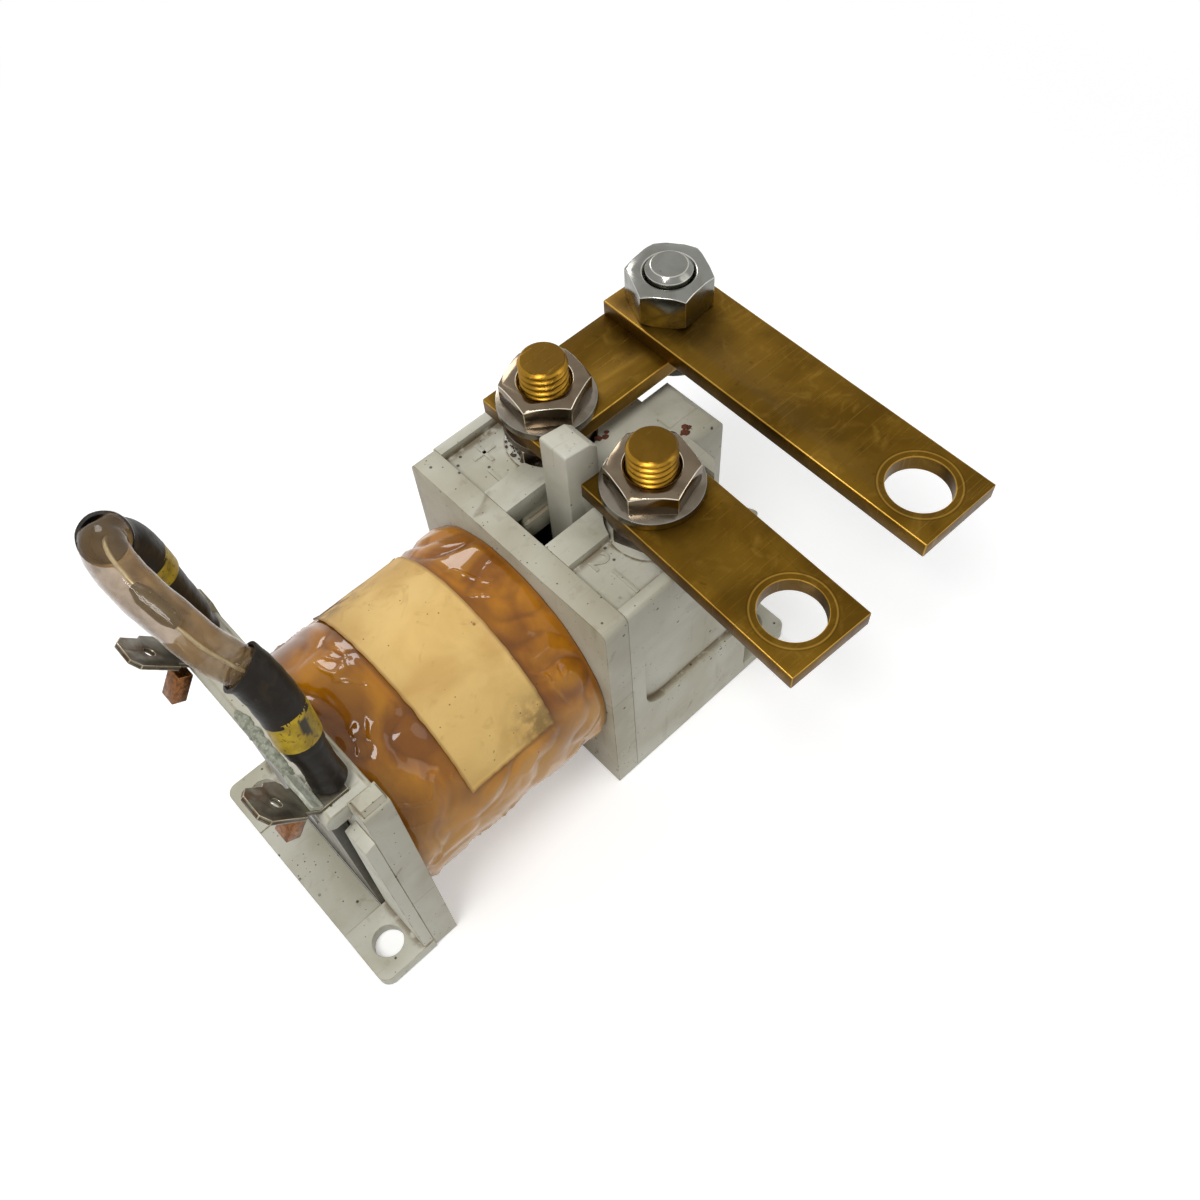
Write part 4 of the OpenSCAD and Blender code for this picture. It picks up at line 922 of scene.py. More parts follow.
def curve_points(points: list[Point], steps: int) -> list[Vector]:
    """Points of a smooth curve through the given ones, in steps for each stretch.

    Args:
        points: The route, in millimetres.
        steps: Steps for each stretch.

    Returns:
        The points, in millimetres.
    """
    route = [Vector(p) for p in points]
    last = len(route) - 1
    result = []
    for i in range(last):
        a, b, c, d = route[max(i - 1, 0)], route[i], route[i + 1], route[min(i + 2, last)]
        for u in (k / steps for k in range(steps)):
            result.append(0.5 * (2 * b + (c - a) * u + (2 * a - 5 * b + 4 * c - d) * u * u
                                 + (3 * b - a - 3 * c + d) * u ** 3))
    return result + [route[last]]


def chain(name: str, points: list[Vector], radii: list[float]) -> Piece:
    """Object whose mesh is a chain of points with a radius each, in millimetres, for the sleeve tree."""
    mesh = bpy.data.meshes.new(name)
    mesh.from_pydata([p * MM for p in points], [(i, i + 1) for i in range(len(points) - 1)], [])
    write_attribute(mesh, "tube_radius", [r * MM for r in radii])
    return store(name, mesh)


@dataclass
class Mouldings:
    """Plastic pieces, with the plain marks moulded into the pocket floors.

    Bars are a place and a size along X and Y; the figure is a sign, its place and its height.
    """

    frame: dict
    edge: float = 0.28
    deck_z: float = 50.0
    mark_rise: float = 0.24
    bars: tuple = ((15.4, 17.7, 4.6, 0.7), (15.4, 17.7, 0.7, 4.6), (13.6, 12.0, 0.7, 4.8), (14.5, -17.3, 0.7, 5.6))
    figure: tuple = ("2", 14.0, -11.9, 4.9)
    rib_stations: tuple[Span, ...] = ((39.6, 0.25), (40.2, 0.25), (45.6, 0.25), (46.0, 0.0))

    def build(self) -> None:
        """Builds and places every moulding."""
        for node, slot, finish, width in (("front_bracket", "moulding", Finish.MOULDING, self.edge),
                                          ("bobbin", "bobbin_plastic", Finish.BOBBIN, self.edge),
                                          ("contact_housing", "moulding", Finish.MOULDING, self.edge),
                                          ("terminal_block", "moulding", Finish.MOULDING, 0.2)):
            dress(self.frame, slot, width, finish, Finish.PLASTIC_EDGE, node)
        carrier = rounded(self.frame, "contact_carrier", 0.3, Finish.CARRIER)
        place(carrier, ARMATURE, "moulding", "contact_carrier")
        place(self.marks(), BASE, "moulding")
        place(self.hood_rib(), BASE, "moulding")

    def marks(self) -> Piece:
        """Plus, two bars and a plain figure, raised a little from the pocket floors."""
        shape = bmesh.new()
        for x, y, dx, dy in self.bars:
            box = bmesh.ops.create_cube(shape, size=1.0)["verts"]
            bmesh.ops.scale(shape, vec=(dx * MM, dy * MM, self.mark_rise * 2 * MM), verts=box)
            bmesh.ops.translate(shape, vec=(x * MM, y * MM, self.deck_z * MM), verts=box)
        mesh = bpy.data.meshes.new("mark_bars")
        shape.to_mesh(mesh)
        shape.free()
        parts = [store("mark_bars", mesh), store("mark_figure", self.figure_mesh())]
        for part in parts:
            part.data.materials.append(Finish.MOULDING.material())
        piece = join("pocket_marks", parts)
        modify(piece, "BEVEL", width=0.08 * MM, segments=2)
        return settle(piece)

    def figure_mesh(self) -> bpy.types.Mesh:
        """The figure, read from the right hand side of the relay."""
        body, x, y, size = self.figure
        curve = bpy.data.curves.new("mark_figure", "FONT")
        curve.body = body
        curve.size, curve.offset, curve.extrude = size * MM, 0.03 * MM, self.mark_rise * MM
        curve.align_x = curve.align_y = "CENTER"
        letter = link(bpy.data.objects.new("mark_letter", curve))
        mesh = evaluated(letter)
        bpy.data.objects.remove(letter)
        turn = Matrix.Rotation(math.radians(-90), 4, "Z")
        mesh.transform(Matrix.Translation((x * MM, y * MM, self.deck_z * MM)) @ turn)
        return mesh

    def hood_rib(self) -> Piece:
        """Low rib along the top of the rear hood."""
        top, foot, half, slope, middle = 52.0, 51.8, 1.4, 0.3, -0.35
        rows = [[(x, middle - half - slope, foot), (x, middle - half, top + rise),
                 (x, middle + half, top + rise), (x, middle + half + slope, foot)] for x, rise in self.rib_stations]
        return settle(skin("hood_rib", rows, Finish.MOULDING, outwards=False))


@dataclass
class Coil:
    """Film and label round the winding; near and far are the label's ends in degrees from the top."""

    axis_z: float = 26.4
    radius: float = 22.15
    turned_in: float = 22.0
    label_lift: float = 0.24
    paper: float = 0.12
    near: float = 69.0
    far: float = -58.0
    film_grid: tuple[int, int] = (150, 440)
    label_grid: tuple[int, int] = (56, 190)

    def __post_init__(self) -> None:
        """Reads the coil's and the label's stations from the frame."""
        self.x0, self.x1 = (corner[0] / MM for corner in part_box("film_wrap"))
        self.label_x0, self.label_x1 = (corner[0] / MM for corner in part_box("label"))

    def build(self) -> None:
        """Builds and places the film and the label."""
        place(self.film_piece(), BASE, "film", "film_wrap")
        place(self.label_piece(), BASE, "paper", "label")

    def under_label(self, x: float, degrees: float) -> float:
        """How far a spot lies under the label, from 0 outside to 1 inside."""
        across = min(x - self.label_x0, self.label_x1 - x)
        along = min(degrees - self.far, self.near - degrees) * 0.4
        return smooth(min(across, along), -2.4, -0.1)

    def swell(self, x: float, degrees: float) -> float:
        """Slow swelling of the film that the paper follows too."""
        a = math.radians(degrees)
        return 0.14 * wave(x / 17 + 3.1, math.cos(a) * 1.5, math.sin(a) * 1.5)

    def pillows(self, x: float, degrees: float) -> float:
        """Height of the loose film between its sharp creases.

        Args:
            x: Place along the coil.
            degrees: Angle from the top, towards the near side.

        Returns:
            The height, from 0 in a crease to about 1.
        """
        a = math.radians(degrees)
        spot = Vector((x / 10.5, math.cos(a) * 2.0, math.sin(a) * 2.0))
        warp = Vector([noise.noise(spot * 0.9 + Vector((11.0 * k, 5.0, 3.0 * k))) for k in (1, 2, 3)]) * 0.8
        broad = abs(noise.noise(spot + warp)) * 2.5
        small = abs(noise.noise(spot * 2.2 + warp * 1.8 + Vector((4.0, 0, 0)))) * 2.2
        ridge = max(1 - abs(noise.noise(spot * 1.5 - warp * 2.0)) * 10, 0) ** 2
        gate = smooth(noise.noise(spot * 0.8 + Vector((0, 8.0, 2.0))), 0.0, 0.22)
        return min(broad, 1.1) * 0.72 + min(small, 1.0) * 0.16 + ridge * gate * 0.45

    def film(self, x: float, degrees: float) -> Span:
        """Radius of the film at a spot and its height over the creases."""
        free = 1 - self.under_label(x, degrees) * 0.96
        ends = 0.25 + 0.75 * smooth(min(x - self.x0, self.x1 - x), 0.0, 2.0)
        height = self.pillows(x, degrees) * free * ends
        return self.radius + self.swell(x, degrees) + height * 0.82, height

    def film_piece(self) -> Piece:
        """The film as a ring of one skin with turned-in ends."""
        across, around = self.film_grid
        turns = [math.tau * j / around for j in range(around)]
        end = [(self.turned_in, 0.2, 0.0, 0.0)] * around
        stations = [(self.x0, end)]
        for i in range(across + 1):
            x = self.x0 + (self.x1 - self.x0) * i / across
            edge = smooth(min(x - self.x0, self.x1 - x), 0.0, 1.2)
            spots = []
            for j in range(around):
                degrees = (360 * j / around + 180) % 360 - 180
                r, height = self.film(x, degrees)
                patchy = wave(x / 7, degrees / 14, 6.0) * 16
                # paler film from about 66 degrees off the top round to the underside, in patches
                loose = smooth(abs(degrees) if degrees < 0 else degrees + 8, 66 + patchy, 100 + patchy)
                spots.append((r, min(height, 1.0), loose, edge))
            stations.append((x, spots))
        stations.append((self.x1, end))
        rows = [[(x, -spot[0] * math.sin(a), self.axis_z + spot[0] * math.cos(a)) for a, spot in zip(turns, spots)]
                for x, spots in stations]
        _, heights, loose, edges = zip(*(spot for _, spots in stations for spot in spots))
        piece = skin("film_skin", rows, Finish.FILM, film_height=heights, film_loose=loose, film_edge=edges)
        piece.data.shade_smooth()
        return piece

    def label_piece(self) -> Piece:
        """The paper label, following the film's slow swelling."""
        across, around = self.label_grid
        rows, rim, soot = [], [], []
        for i in range(across + 1):
            u = i / across
            row = []
            for j in range(around + 1):
                v = j / around
                edge = smooth(abs(v - 0.5), 0.47, 0.5)
                degrees = self.far + (self.near - self.far) * v + 0.5 * edge * wave(i * 0.31, j * 0.11, 2.0)
                x = self.label_x0 + (self.label_x1 - self.label_x0) * u
                x += 0.12 * smooth(abs(u - 0.5), 0.46, 0.5) * wave(i * 0.2, j * 0.14, 8.0)
                curl = 0.2 * smooth(abs(u - 0.5), 0.42, 0.5) + 0.25 * smooth(abs(v - 0.5), 0.485, 0.5)
                r = self.radius + self.swell(x, degrees) + self.label_lift + curl
                r += 0.06 * wave(x / 4, degrees / 9, 5.0)
                a = math.radians(degrees)
                row.append((x, -r * math.sin(a), self.axis_z + r * math.cos(a)))
                # distance to the label's edge, for its darker rim and painted shadow
                rim.append(min(min(u, 1 - u) * 8.5, min(v, 1 - v) * 25, 1.0))
                corner = smooth(v, 0.78, 0.97) * smooth(u, 0.45, 0.9) * 0.7
                soot.append(max(smooth(v, 0.2, 0.04) * smooth(u, 0.75, 0.15), corner))
            rows.append(row)
        piece = skin("paper_label", rows, Finish.PAPER, closed=False, outwards=False,
                     paper_rim=rim, paper_soot=soot)
        modify(piece, "SOLIDIFY", thickness=self.paper * MM, offset=0)
        return settle(piece)


@dataclass
class Works:
    """Inner metal pieces, which keep their CAD shapes."""

    frame: dict

    def build(self) -> None:
        """Gives each inner node its finish."""
        for finish, nodes in ((Finish.YOKE, ("magnet_frame",)), (Finish.COPPER, ("winding",)),
                              (Finish.CORE, ("fixed_core", "plunger", "plunger_rod")),
                              (Finish.SPRING, ("return_spring", "contact_spring")),
                              (Finish.SILVER, ("bridge_tips", "fixed_tips")),
                              (Finish.CONTACT_BRASS, ("contact_bridge", "fixed_contact_1", "fixed_contact_2"))):
            for node in nodes:
                mesh = self.frame["nodes"][node].data
                mesh.materials.clear()
                mesh.materials.append(finish.material())
                log.info("%s: %s", node, finish.value.name)


@dataclass
class Terminals:
    """Studs, nuts, washers and busbars."""

    frame: dict
    pitch: float = 1.25
    depth: float = 0.72
    chamfer: float = 0.5
    plain_foot: float = 6.0

    def build(self) -> None:
        """Builds and places every fastener and bar."""
        rod = threaded_rod_tree(Finish.STUD)
        for node in ("stud_1", "stud_2"):
            place(self.stud(node, rod), BASE, "stud_brass", node)
        for slot, width, finish, edge, node in (
                ("nut_steel", 0.18, Finish.CORRODED, Finish.NUT_EDGE_HIGHLIGHT, "base_nuts"),
                ("nut_steel", 0.2, Finish.NUT, Finish.NUT_EDGE_HIGHLIGHT, "stud_nuts"),
                ("nut_steel", 0.2, Finish.CORRODED, Finish.WASHER, "base_washers"),
                ("nut_steel", 0.16, Finish.WASHER, Finish.ZINC, "stud_washers"),
                ("zinc", 0.2, Finish.ZINC, Finish.ZINC_EDGE, "link_nut"),
                ("zinc", 0.22, Finish.ZINC, Finish.ZINC_EDGE, "link_bolt")):
            dress(self.frame, slot, width, finish, edge, node)
        holes = {mount["name"]: tuple(c / MM for c in mount["pos_m"][:2])
                 for mount in self.frame["record"]["mounts"]}
        for node, hole in (("cross_busbar", None), ("long_busbar", "long_bar_hole"),
                           ("short_busbar", "short_bar_hole")):
            finish = replace(Finish.BAR.value, name=f"bar_{hole}", prints=(holes[hole],)) if hole else Finish.BAR
            dress(self.frame, "bar_brass", 0.16, finish, Finish.BAR_EDGE_WORN_AND_HIGHLIGHT, node)

    def stud(self, node: str, tree: GeometryTree) -> Piece:
        """One stud with its thread, in the place of a CAD node.

        Args:
            node: CAD node that gives its place.
            tree: Threaded rod tree.

        Returns:
            The stud.
        """
        low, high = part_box(node)
        piece = store(node + "_threaded", bpy.data.meshes.new(node))
        tree.apply(piece, Length=high[2] - low[2], Radius=(high[0] - low[0]) / 2, Pitch=self.pitch * MM,
                   Depth=self.depth * MM, Chamfer=self.chamfer * MM, Plain_foot=self.plain_foot * MM)
        settle(piece, math.radians(50))
        piece.data.transform(Matrix.Translation(((low[0] + high[0]) / 2, (low[1] + high[1]) / 2, low[2])))
        return piece


@dataclass
class CoilTerminals:
    """Blade tabs, lugs, adhesive and tape on the terminal strip."""

    frame: dict
    bead_radius: float = 0.95
    bead_inset: Span = (1.75, 0.98)
    bead_points: int = 70

    def build(self) -> None:
        """Builds and places the pieces on the strip."""
        dress(self.frame, "tab_metal", 0.1, Finish.TAB, Finish.TAB_EDGE, "terminal_near", "terminal_far")
        dress(self.frame, "copper", 0.15, Finish.LUG, None, "terminal_lugs")
        place(self.bead(), BASE, "adhesive", "adhesive_bead")
        place(self.tape(), BASE, "adhesive", "fixing_tape")

    def bead(self) -> Piece:
        """Lumpy bead along the front edge of the strip."""
        low, high = (Vector(corner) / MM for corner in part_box("adhesive_bead"))
        points, radii = [], []
        for u in (i / self.bead_points for i in range(self.bead_points + 1)):
            points.append(Vector((low.x + self.bead_inset[0] + 0.18 * wave(u * 9, 0, 1.0),
                                  low.y + (high.y - low.y) * u,
                                  high.z - self.bead_inset[1] + 0.12 * wave(u * 7, 3.0, 0))))
            ends = math.sqrt(max(1 - (2 * u - 1) ** 6, 0.02))
            radii.append(self.bead_radius * ends * (0.9 + 0.25 * wave(u * 13, 7.0, 0)))
        piece = chain("adhesive_crust", points, radii)
        sleeve_tree(Finish.ADHESIVE).apply(piece, Sides=28, Wrinkle=0.7 * MM, Wrinkle_scale=1100.0, Caps=1)
        return settle(piece, math.radians(80))

    def tape(self) -> Piece:
        """Creased patch of tape over the near tab's neck."""
        piece = rounded(self.frame, "fixing_tape", 0.12, Finish.TAPE)
        shape = bmesh.new()
        shape.from_mesh(piece.data)
        long_edges = [edge for edge in shape.edges if edge.calc_length() > 0.5 * MM]
        bmesh.ops.subdivide_edges(shape, edges=long_edges, cuts=9, use_grid_fill=True)
        for vert in shape.verts:
            spot = vert.co / MM
            vert.co += Vector((-0.1, 0, 0.12)) * wave(spot.x * 0.9, spot.y * 0.7, spot.z * 0.9) * MM
        shape.to_mesh(piece.data)
        shape.free()
        piece.data.shade_smooth()
        return piece


def across_view(points: list[Vector]) -> list[tuple[Vector, Vector]]:
    """For each point of a line, the directions across the line and towards the photograph's viewer."""
    last = len(points) - 1
    result = []
    for i in range(last + 1):
        along = (points[min(i + 1, last)] - points[max(i - 1, 0)]).normalized()
        side = along.cross(Vector(VIEWER)).normalized()
        result.append((side, side.cross(along)))
    return result


def ring_angles(sides: int) -> list[float]:
    """Angles of a ring's points, from -pi; 0 faces the photograph's viewer."""
    return [math.tau * (j / sides) - math.pi for j in range(sides)]


def tube_rows(points: list[Vector], reach: Callable[[float, float], float], sides: int) -> Rows:
    """Rings of points round a line.

    Args:
        points: The line.
        reach: Radius at a share of the line and an angle.
        sides: Points in a ring.

    Returns:
        The rings.
    """
    last = len(points) - 1
    return [[tuple(point + (front * math.cos(a) + side * math.sin(a)) * reach(i / last, a))
             for a in ring_angles(sides)]
            for i, (point, (side, front)) in enumerate(zip(points, across_view(points)))]


def hump(angle: float, centre: float, width: float) -> float:
    """Rounded bump from 0 to 1 round an angle."""
    away = (angle - centre + math.pi) % math.tau - math.pi
    return math.exp(-(away / width) ** 2)


@dataclass
class Suppressor:
    """Stiff sleeved loop across the coil terminals.

    The route holds X and Z from the strip's top edge in millimetres, and Y as a share of the tab spacing.
    A span is where a piece begins and ends, in points of the route.
    """

    route: tuple[Point, ...] = (
        (-3.9, -0.98, 1.4), (-3.9, -0.95, 3.8), (-3.9, -0.9, 7), (-4, -0.83, 10.4), (-3.7, -0.73, 15),
        (-3.8, -0.635, 18.6), (-4.2, -0.513, 21.8), (-5.3, -0.404, 24), (-6.6, -0.256, 26.4),
        (-7.4, -0.064, 28.8), (-8.2, 0.192, 30.6), (-8.6, 0.449, 31.9), (-8.5, 0.641, 32.5),
        (-8.1, 0.782, 32.5), (-7.4, 0.897, 31.4), (-6.6, 0.962, 29.3), (-5.3, 1.006, 25.9),
        (-4.6, 1.032, 20.5), (-4.3, 1.058, 14.9), (-3.9, 1.077, 9.6), (-3.6, 1.083, 6),
        (-3.5, 1.083, 3.4), (-3.5, 1.083, 1.6))
    steps: int = 12
    sides: int = 64
    half_tab: float = 3.15
    wall: float = 0.45
    near_mouth: Span = (6.6, 4.12)
    near_core: Span = (6.0, 2.67)
    near_band: Span = (3.2, 4.25)
    near_lead: Span = (2.75, 0.0)
    far_mouth: Span = (14.0, 16.7)
    far_core: Span = (14.9, 20.0)
    far_band: Span = (16.62, 17.36)
    far_lead: Span = (20.08, 22.0)
    clear_span: Span = (6.1, 14.34)
    clear_radius: float = 2.85
    band_radius: float = 3.2
    block_angle: float = 0.75

    def __post_init__(self) -> None:
        """Lays the line through the route, and makes the tree of the sleeves."""
        edge = Vector(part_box("terminal_block")[1]) / MM
        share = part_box("terminal_far")[0][1] / MM + self.half_tab
        self.line = curve_points([(edge.x + x, y * share, edge.z + z) for x, y, z in self.route], self.steps)
        self.sleeve = sleeve_tree(Finish.SLEEVE)

    def build(self) -> None:
        """Builds and places the loop's pieces."""
        near = join("sleeve_near", [
            self.tube("near_mouth", self.near_mouth,
                      lambda u: 3.27 + 0.28 * (1 - smooth(u, 0, 0.2)) - 0.1 * u, self.wall),
            self.tube("near_core", self.near_core, lambda u: 2.92 - 0.1 * smooth(u, 0.9, 1))])
        far = join("sleeve_far", [
            self.tube("far_mouth", self.far_mouth,
                      lambda u: 3.26 + 0.26 * (1 - smooth(u, 0, 0.2)) - 0.06 * u, self.wall),
            self.tube("far_core", self.far_core, lambda u: 2.95 - 0.1 * smooth(u, 0.9, 1))])
        place(near, BASE, "sleeve", "suppressor_near")
        place(far, BASE, "sleeve", "suppressor_far")
        place(self.band("band_near", self.near_band), BASE, "band", "marker_bands")
        place(self.band("band_far", self.far_band), BASE, "band")
        place(self.clear(), BASE, "clear", "clear_sleeve")
        place(self.wires(), BASE, "solder", "lead_joint")
        place(join("sleeved_leads", [self.tube("near_lead", self.near_lead, self.lead_radius),
                                     self.tube("far_lead", self.far_lead, self.lead_radius)]),
              BASE, "sleeve", "suppressor_leads")

    def stretch(self, span: Span) -> list[Vector]:
        """Points of the loop along a span."""
        first, last = (round(end * self.steps) for end in span)
        return self.line[first:last + 1] if last > first else self.line[last:first + 1][::-1]

    def lead_radius(self, u: float) -> float:
        """Radius of a lead from its sleeve (0) down to its rounded foot (1)."""
        waist = 2.62 - 0.16 * smooth(u, 0, 0.4) + 0.24 * smooth(u, 0.5, 0.85)
        return waist * math.sqrt(max(1 - smooth(u, 0.93, 1.02) ** 2, 0.3))

    def tube(self, name: str, span: Span, radius: Callable[[float], float], wall: float = 0.0) -> Piece:
        """Wrinkled sleeve along a stretch of the loop.

        Args:
            name: Name of the piece.
            span: Where it begins and ends.
            radius: Radius at a share of the stretch.
            wall: Thickness of an open sleeve, or 0 for a closed one.

        Returns:
            The sleeve.
        """
        points = self.stretch(span)
        last = len(points) - 1
        piece = chain(name, points, [radius(i / last) * (1 + 0.02 * wave(i * 0.21, *span)) for i in range(last + 1)])
        self.sleeve.apply(piece, Sides=44, Wrinkle=0.26 * MM, Wrinkle_scale=330.0, Caps=0 if wall else 1)
        if wall:
            modify(piece, "SOLIDIFY", thickness=wall * MM, offset=-1)
        return settle(piece, SOFT_ANGLE)

    def band(self, name: str, span: Span) -> Piece:
        """Marker band with one plain dark block.

        Args:
            name: Name of the piece.
            span: Where it begins and ends.

        Returns:
            The band.
        """
        points = self.stretch(span)
        last = len(points) - 1
        rows = tube_rows(points, lambda u, a: self.band_radius + 0.04 * wave(u * 3, a, span[0]), self.sides)
        block = [float(abs(i / last - 0.58 + 0.3 * (a - self.block_angle)) < 0.24
                       and abs(a - self.block_angle) < 0.18)
                 for i in range(last + 1) for a in ring_angles(self.sides)]
        piece = skin(name, rows, Finish.BAND, band_block=block)
        modify(piece, "SOLIDIFY", thickness=0.3 * MM, offset=-1)
        return settle(piece, SOFT_ANGLE)

    def clear(self) -> Piece:
        """Clear sleeve: crumpled at the near end, folded in two lobes at the far end."""
        points = self.stretch(self.clear_span)
        last = len(points) - 1

        def reach(u: float, a: float) -> float:
            """Radius at a share of the sleeve and an angle from the viewer's side."""
            fold = smooth(u, 0.86, 0.985)
            r = self.clear_radius * (1 + 0.035 * wave(u * 14, math.cos(a), math.sin(a)))
            r += 0.1 * hump(a, 0.25, 0.4) * smooth(u, 0.1, 0.3) * (1 - fold)
            crumple = (1 - smooth(u, 0.02, 0.16)) * 0.5
            r += crumple * (wave(u * 60, math.cos(a) * 2, math.sin(a) * 2) - 0.25)
            return r + fold * (0.55 - 1.35 * hump(a, 0.1, 0.5) + 0.2 * hump(a, 1.1, 0.4))

        dark, back = [], []
        for u in (i / last for i in range(last + 1)):
            for a in ring_angles(self.sides):
                # painted shadow at the near end, in the black sleeve's mouth, and painted shade in the crease of the
                # far fold
                crease = smooth(u, 0.86, 0.97) * hump(a, 0.1, 0.35)
                dark.append(min(0.75 * (1 - smooth(u, 0.0, 0.13)) + 0.6 * crease, 1.0))
                back.append(smooth(abs(a), 1.2, 2.0))
        rows = tube_rows(points, reach, self.sides)
        return settle(skin("clear_tube", rows, Finish.CLEAR, tube_dark=dark, tube_back=back), SOFT_ANGLE)

    def wires(self) -> Piece:
        """Soldered joint between two thin tinned wires."""
        return join("soldered_wires", [self.rod("solder_rod", (9.0, 10.6), 0.1, 1.3, Finish.SOLDER),
                                       self.rod("wire_in", (5.9, 9.1), -0.25, 0.28, Finish.WIRE),
                                       self.rod("wire_out", (10.5, 14.3), 0.25, 0.28, Finish.WIRE)])

    def rod(self, name: str, span: Span, aside: float, radius: float, finish: Finish) -> Piece:
        """Rod inside the clear sleeve.

        Args:
            name: Name of the piece.
            span: Where it begins and ends.
            aside: How far it lies across the view from the loop's line.
            radius: Its radius.
            finish: Its finish.

        Returns:
            The rod.
        """
        points = self.stretch(span)
        last = len(points) - 1
        line = [p + side * aside * (0.85 + 0.2 * wave(i * 0.07, aside, 0))
                for i, (p, (side, _)) in enumerate(zip(points, across_view(points)))]
        radii = [radius * (0.55 + 0.45 * smooth(min(i, last - i), -0.5, 5)) for i in range(last + 1)]
        piece = chain(name, line, radii)
        sleeve_tree(finish).apply(piece, Sides=18, Wrinkle=0.2 * MM, Wrinkle_scale=700.0, Caps=1)
        return settle(piece, SOFT_ANGLE)


@dataclass
class Residue:
    """Crust round stud 1, rust and dirt on the housing, and crumbs at the foot of the near lead.

    Patches are a centre and half sides along X and Y; the skirt is pairs of a radius and a height.
    """

    stud: Span = (25.5, 12.1)
    rings: int = 36
    skirt: tuple[Span, ...] = ((7.9, 50.55), (7.0, 50.7), (6.75, 51.3), (6.6, 53.9))
    rust: tuple = ((41.2, -3.7, 52.0, 1.1, 0.7), (30.8, 5.0, 52.0, 1.2, 0.5), (33.5, -1.6, 52.0, 0.5, 0.4))
    crumbs: tuple = ((-41.3, -16.6, 55.75, 1.0, 1.6), (-36.4, -13.4, 55.7, 0.8, 0.8))

    def build(self) -> None:
        """Builds and places the residue."""
        for name, faces, finish, density, sizes, seed, slot in (
                ("stud_crust", self.skirt_faces(), Finish.SOOT, 2.0e6, (0.12, 0.42), 7, "nut_steel"),
                ("rust_flakes", self.squares(self.rust), Finish.RUST, 3.2e6, (0.25, 0.75), 3, "nut_steel"),
                ("foot_crumbs", self.squares(self.crumbs), Finish.FOOT_RESIN, 3.0e6, (0.12, 0.45), 5, "adhesive")):
            piece = self.carrier(name, faces)
            grain_tree(finish).apply(piece, Density=density, Smallest=sizes[0] * MM, Largest=sizes[1] * MM, Seed=seed)
            place(settle(piece), BASE, slot)

    def skirt_faces(self) -> Rows:
        """Faces round the stud, down its skirt."""
        x, y = self.stud
        turns = [math.tau * i / self.rings for i in range(self.rings + 1)]
        return [[(x + r * math.cos(t), y + r * math.sin(t), z)
                 for t, r, z in ((a, r0, z0), (b, r0, z0), (b, r1, z1), (a, r1, z1))]
                for a, b in zip(turns, turns[1:]) for (r0, z0), (r1, z1) in zip(self.skirt, self.skirt[1:])]

    def squares(self, patches: tuple) -> Rows:
        """Flat faces from centres and half sides."""
        return [[(x - dx, y - dy, z), (x + dx, y - dy, z), (x + dx, y + dy, z), (x - dx, y + dy, z)]
                for x, y, z, dx, dy in patches]

    def carrier(self, name: str, faces: Rows) -> Piece:
        """Piece of loose faces, in millimetres, that grains are strewn over."""
        mesh = bpy.data.meshes.new(name)
        shape = bmesh.new()
        for face in faces:
            shape.faces.new([shape.verts.new(Vector(p) * MM) for p in face])
        shape.to_mesh(mesh)
        shape.free()
        return store(name, mesh)


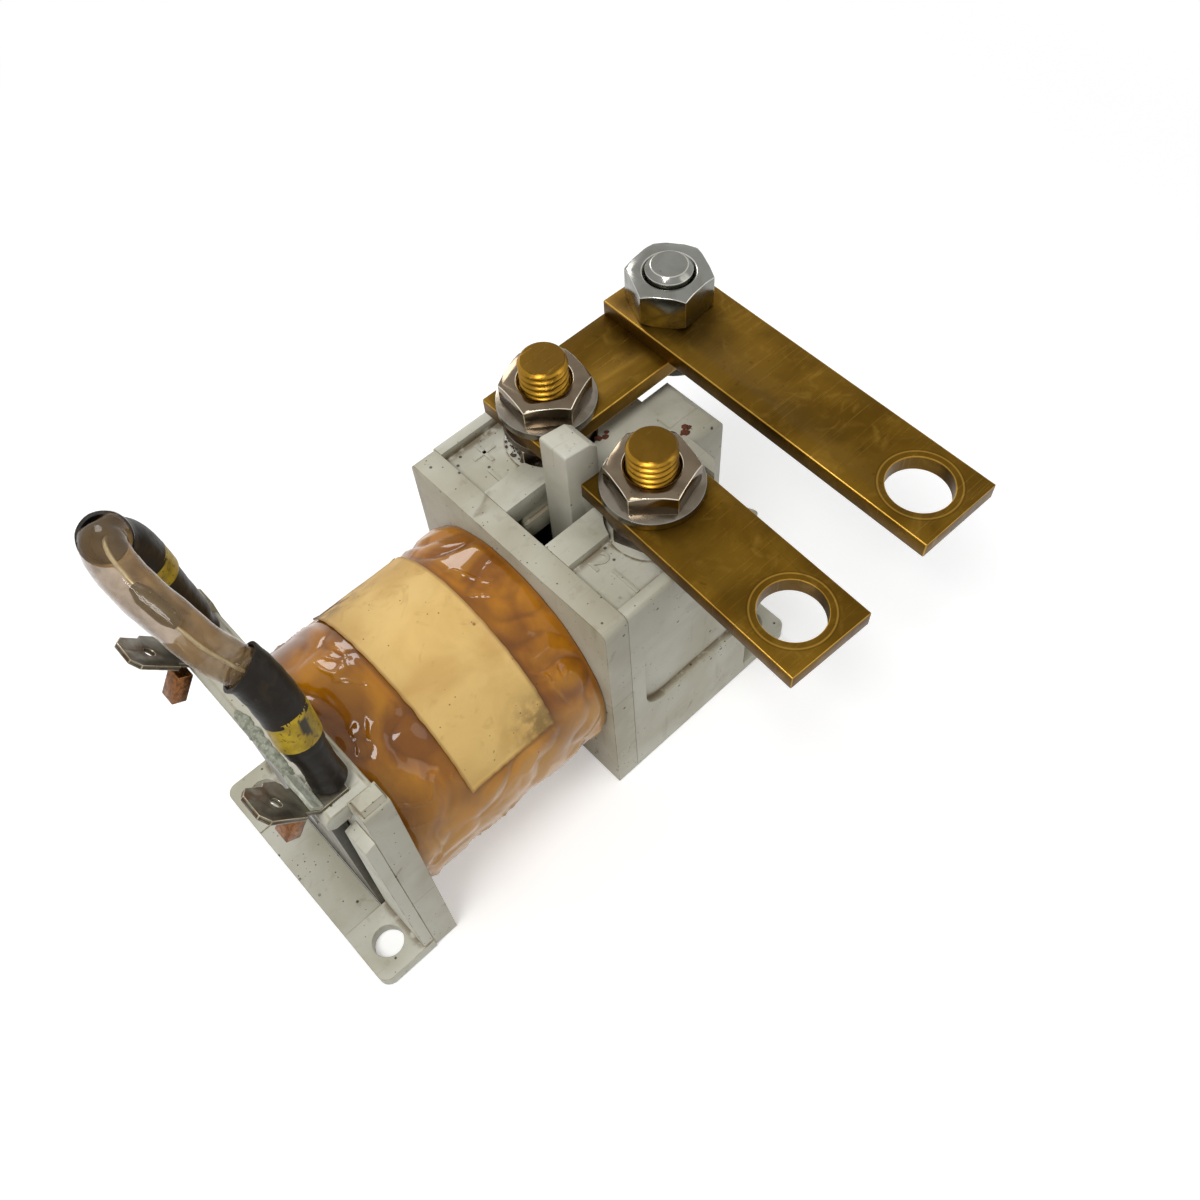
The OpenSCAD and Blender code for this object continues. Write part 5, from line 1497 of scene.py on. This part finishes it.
@dataclass
class Studio:
    """Camera, pale floor and soft lamps."""

    focal: float = 34.5
    sensor: float = 36.0
    eye: Point = (-49.285, -89.2, 199.309)
    right: Point = (0.72854, -0.68356, -0.04445)
    up: Point = (0.59842, 0.60352, 0.52693)
    floor_half: float = 3000.0
    floor_level: float = -0.2
    fade: Span = (110.0, 280.0)
    albedo: float = 0.86
    glow: float = 0.34
    ambient: float = 0.35

    def build(self) -> None:
        """Builds the camera, the floor, the world and the lamps."""
        self.camera()
        self.floor()
        self.world()
        self.lamp("key", (-160, -60, 420), (0, 0, 30), 150, 0.95)
        self.lamp("fill", (260, -300, 260), (10, 0, 30), 240, 0.25)
        self.lamp("rim", (120, 330, 240), (10, 0, 30), 120, 0.38)
        bpy.context.scene.view_settings.view_transform = "Standard"

    def camera(self) -> None:
        """Camera at the photograph's place."""
        data = bpy.data.cameras.new("camera")
        data.lens, data.sensor_width = self.focal, self.sensor
        camera = link(bpy.data.objects.new("camera", data))
        turn = Matrix((self.right, self.up, VIEWER)).transposed().to_4x4()
        camera.matrix_world = Matrix.Translation(Vector(self.eye) * MM) @ turn
        bpy.context.scene.camera = camera

    def floor(self) -> None:
        """Plain floor that keeps the shadow near the relay and looks white to the camera."""
        half, level = self.floor_half * MM, self.floor_level * MM
        mesh = bpy.data.meshes.new("floor")
        mesh.from_pydata([(x * half, y * half, level) for x, y in ((-1, -1), (1, -1), (1, 1), (-1, 1))], [],
                         [(0, 1, 2, 3)])
        t = ShaderTree("floor_paper")
        t.feed(t.shader, {"Base Color": (self.albedo, self.albedo, self.albedo, 1), "Roughness": 0.9})
        seen = self.seen(t)
        glow, white = (t.node("ShaderNodeEmission", inputs={"Color": WHITE, "Strength": strength}).outputs[0]
                       for strength in (seen * self.glow, seen))
        both = t.node("ShaderNodeAddShader", inputs={0: t.shader.outputs[0], 1: glow}).outputs[0]
        mixed = t.node("ShaderNodeMixShader", inputs={0: t.away(0, 0).step(*self.fade), 1: both, 2: white})
        t.feed(t.tree.nodes["Material Output"], {"Surface": mixed.outputs[0]})
        mesh.materials.append(t.material)
        store("floor", mesh)

    def seen(self, tree: Tree) -> Value:
        """1 for the camera's rays, reflections and transmission, 0 for the rest."""
        path = tree.node("ShaderNodeLightPath")
        camera, glossy, through = (Value(tree, path.outputs[f"Is {kind} Ray"])
                                   for kind in ("Camera", "Glossy", "Transmission"))
        return camera.math("MAXIMUM", glossy).math("MAXIMUM", through)

    def world(self) -> None:
        """Soft even light from all round, white to the camera."""
        world = bpy.data.worlds.new("studio")
        bpy.context.scene.world = world
        world.use_nodes = True
        tree = Tree(world.node_tree)
        strength = self.seen(tree) * (1 - self.ambient) + self.ambient
        tree.feed(tree.tree.nodes["Background"], {"Color": WHITE, "Strength": strength})

    def lamp(self, name: str, spot: Point, aim: Point, size: float, power: float) -> None:
        """Adds a soft square lamp.

        Args:
            name: Name of the lamp.
            spot: Where it stands.
            aim: What it points at.
            size: Side of the square.
            power: Power in watts.
        """
        data = bpy.data.lights.new(name, "AREA")
        data.size, data.energy = size * MM, power
        toward = (Vector(aim) - Vector(spot)).normalized()
        turn = toward.to_track_quat("-Z", "Y").to_matrix().to_4x4()
        link(bpy.data.objects.new(name, data)).matrix_world = Matrix.Translation(Vector(spot) * MM) @ turn


def main() -> None:
    """Builds the whole scene."""
    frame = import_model()
    for part in (Studio(), Suppressor(), Mouldings(frame), Coil(), Works(frame), Terminals(frame),
                 CoilTerminals(frame), Residue()):
        part.build()


if __name__ == "__main__":
    main()
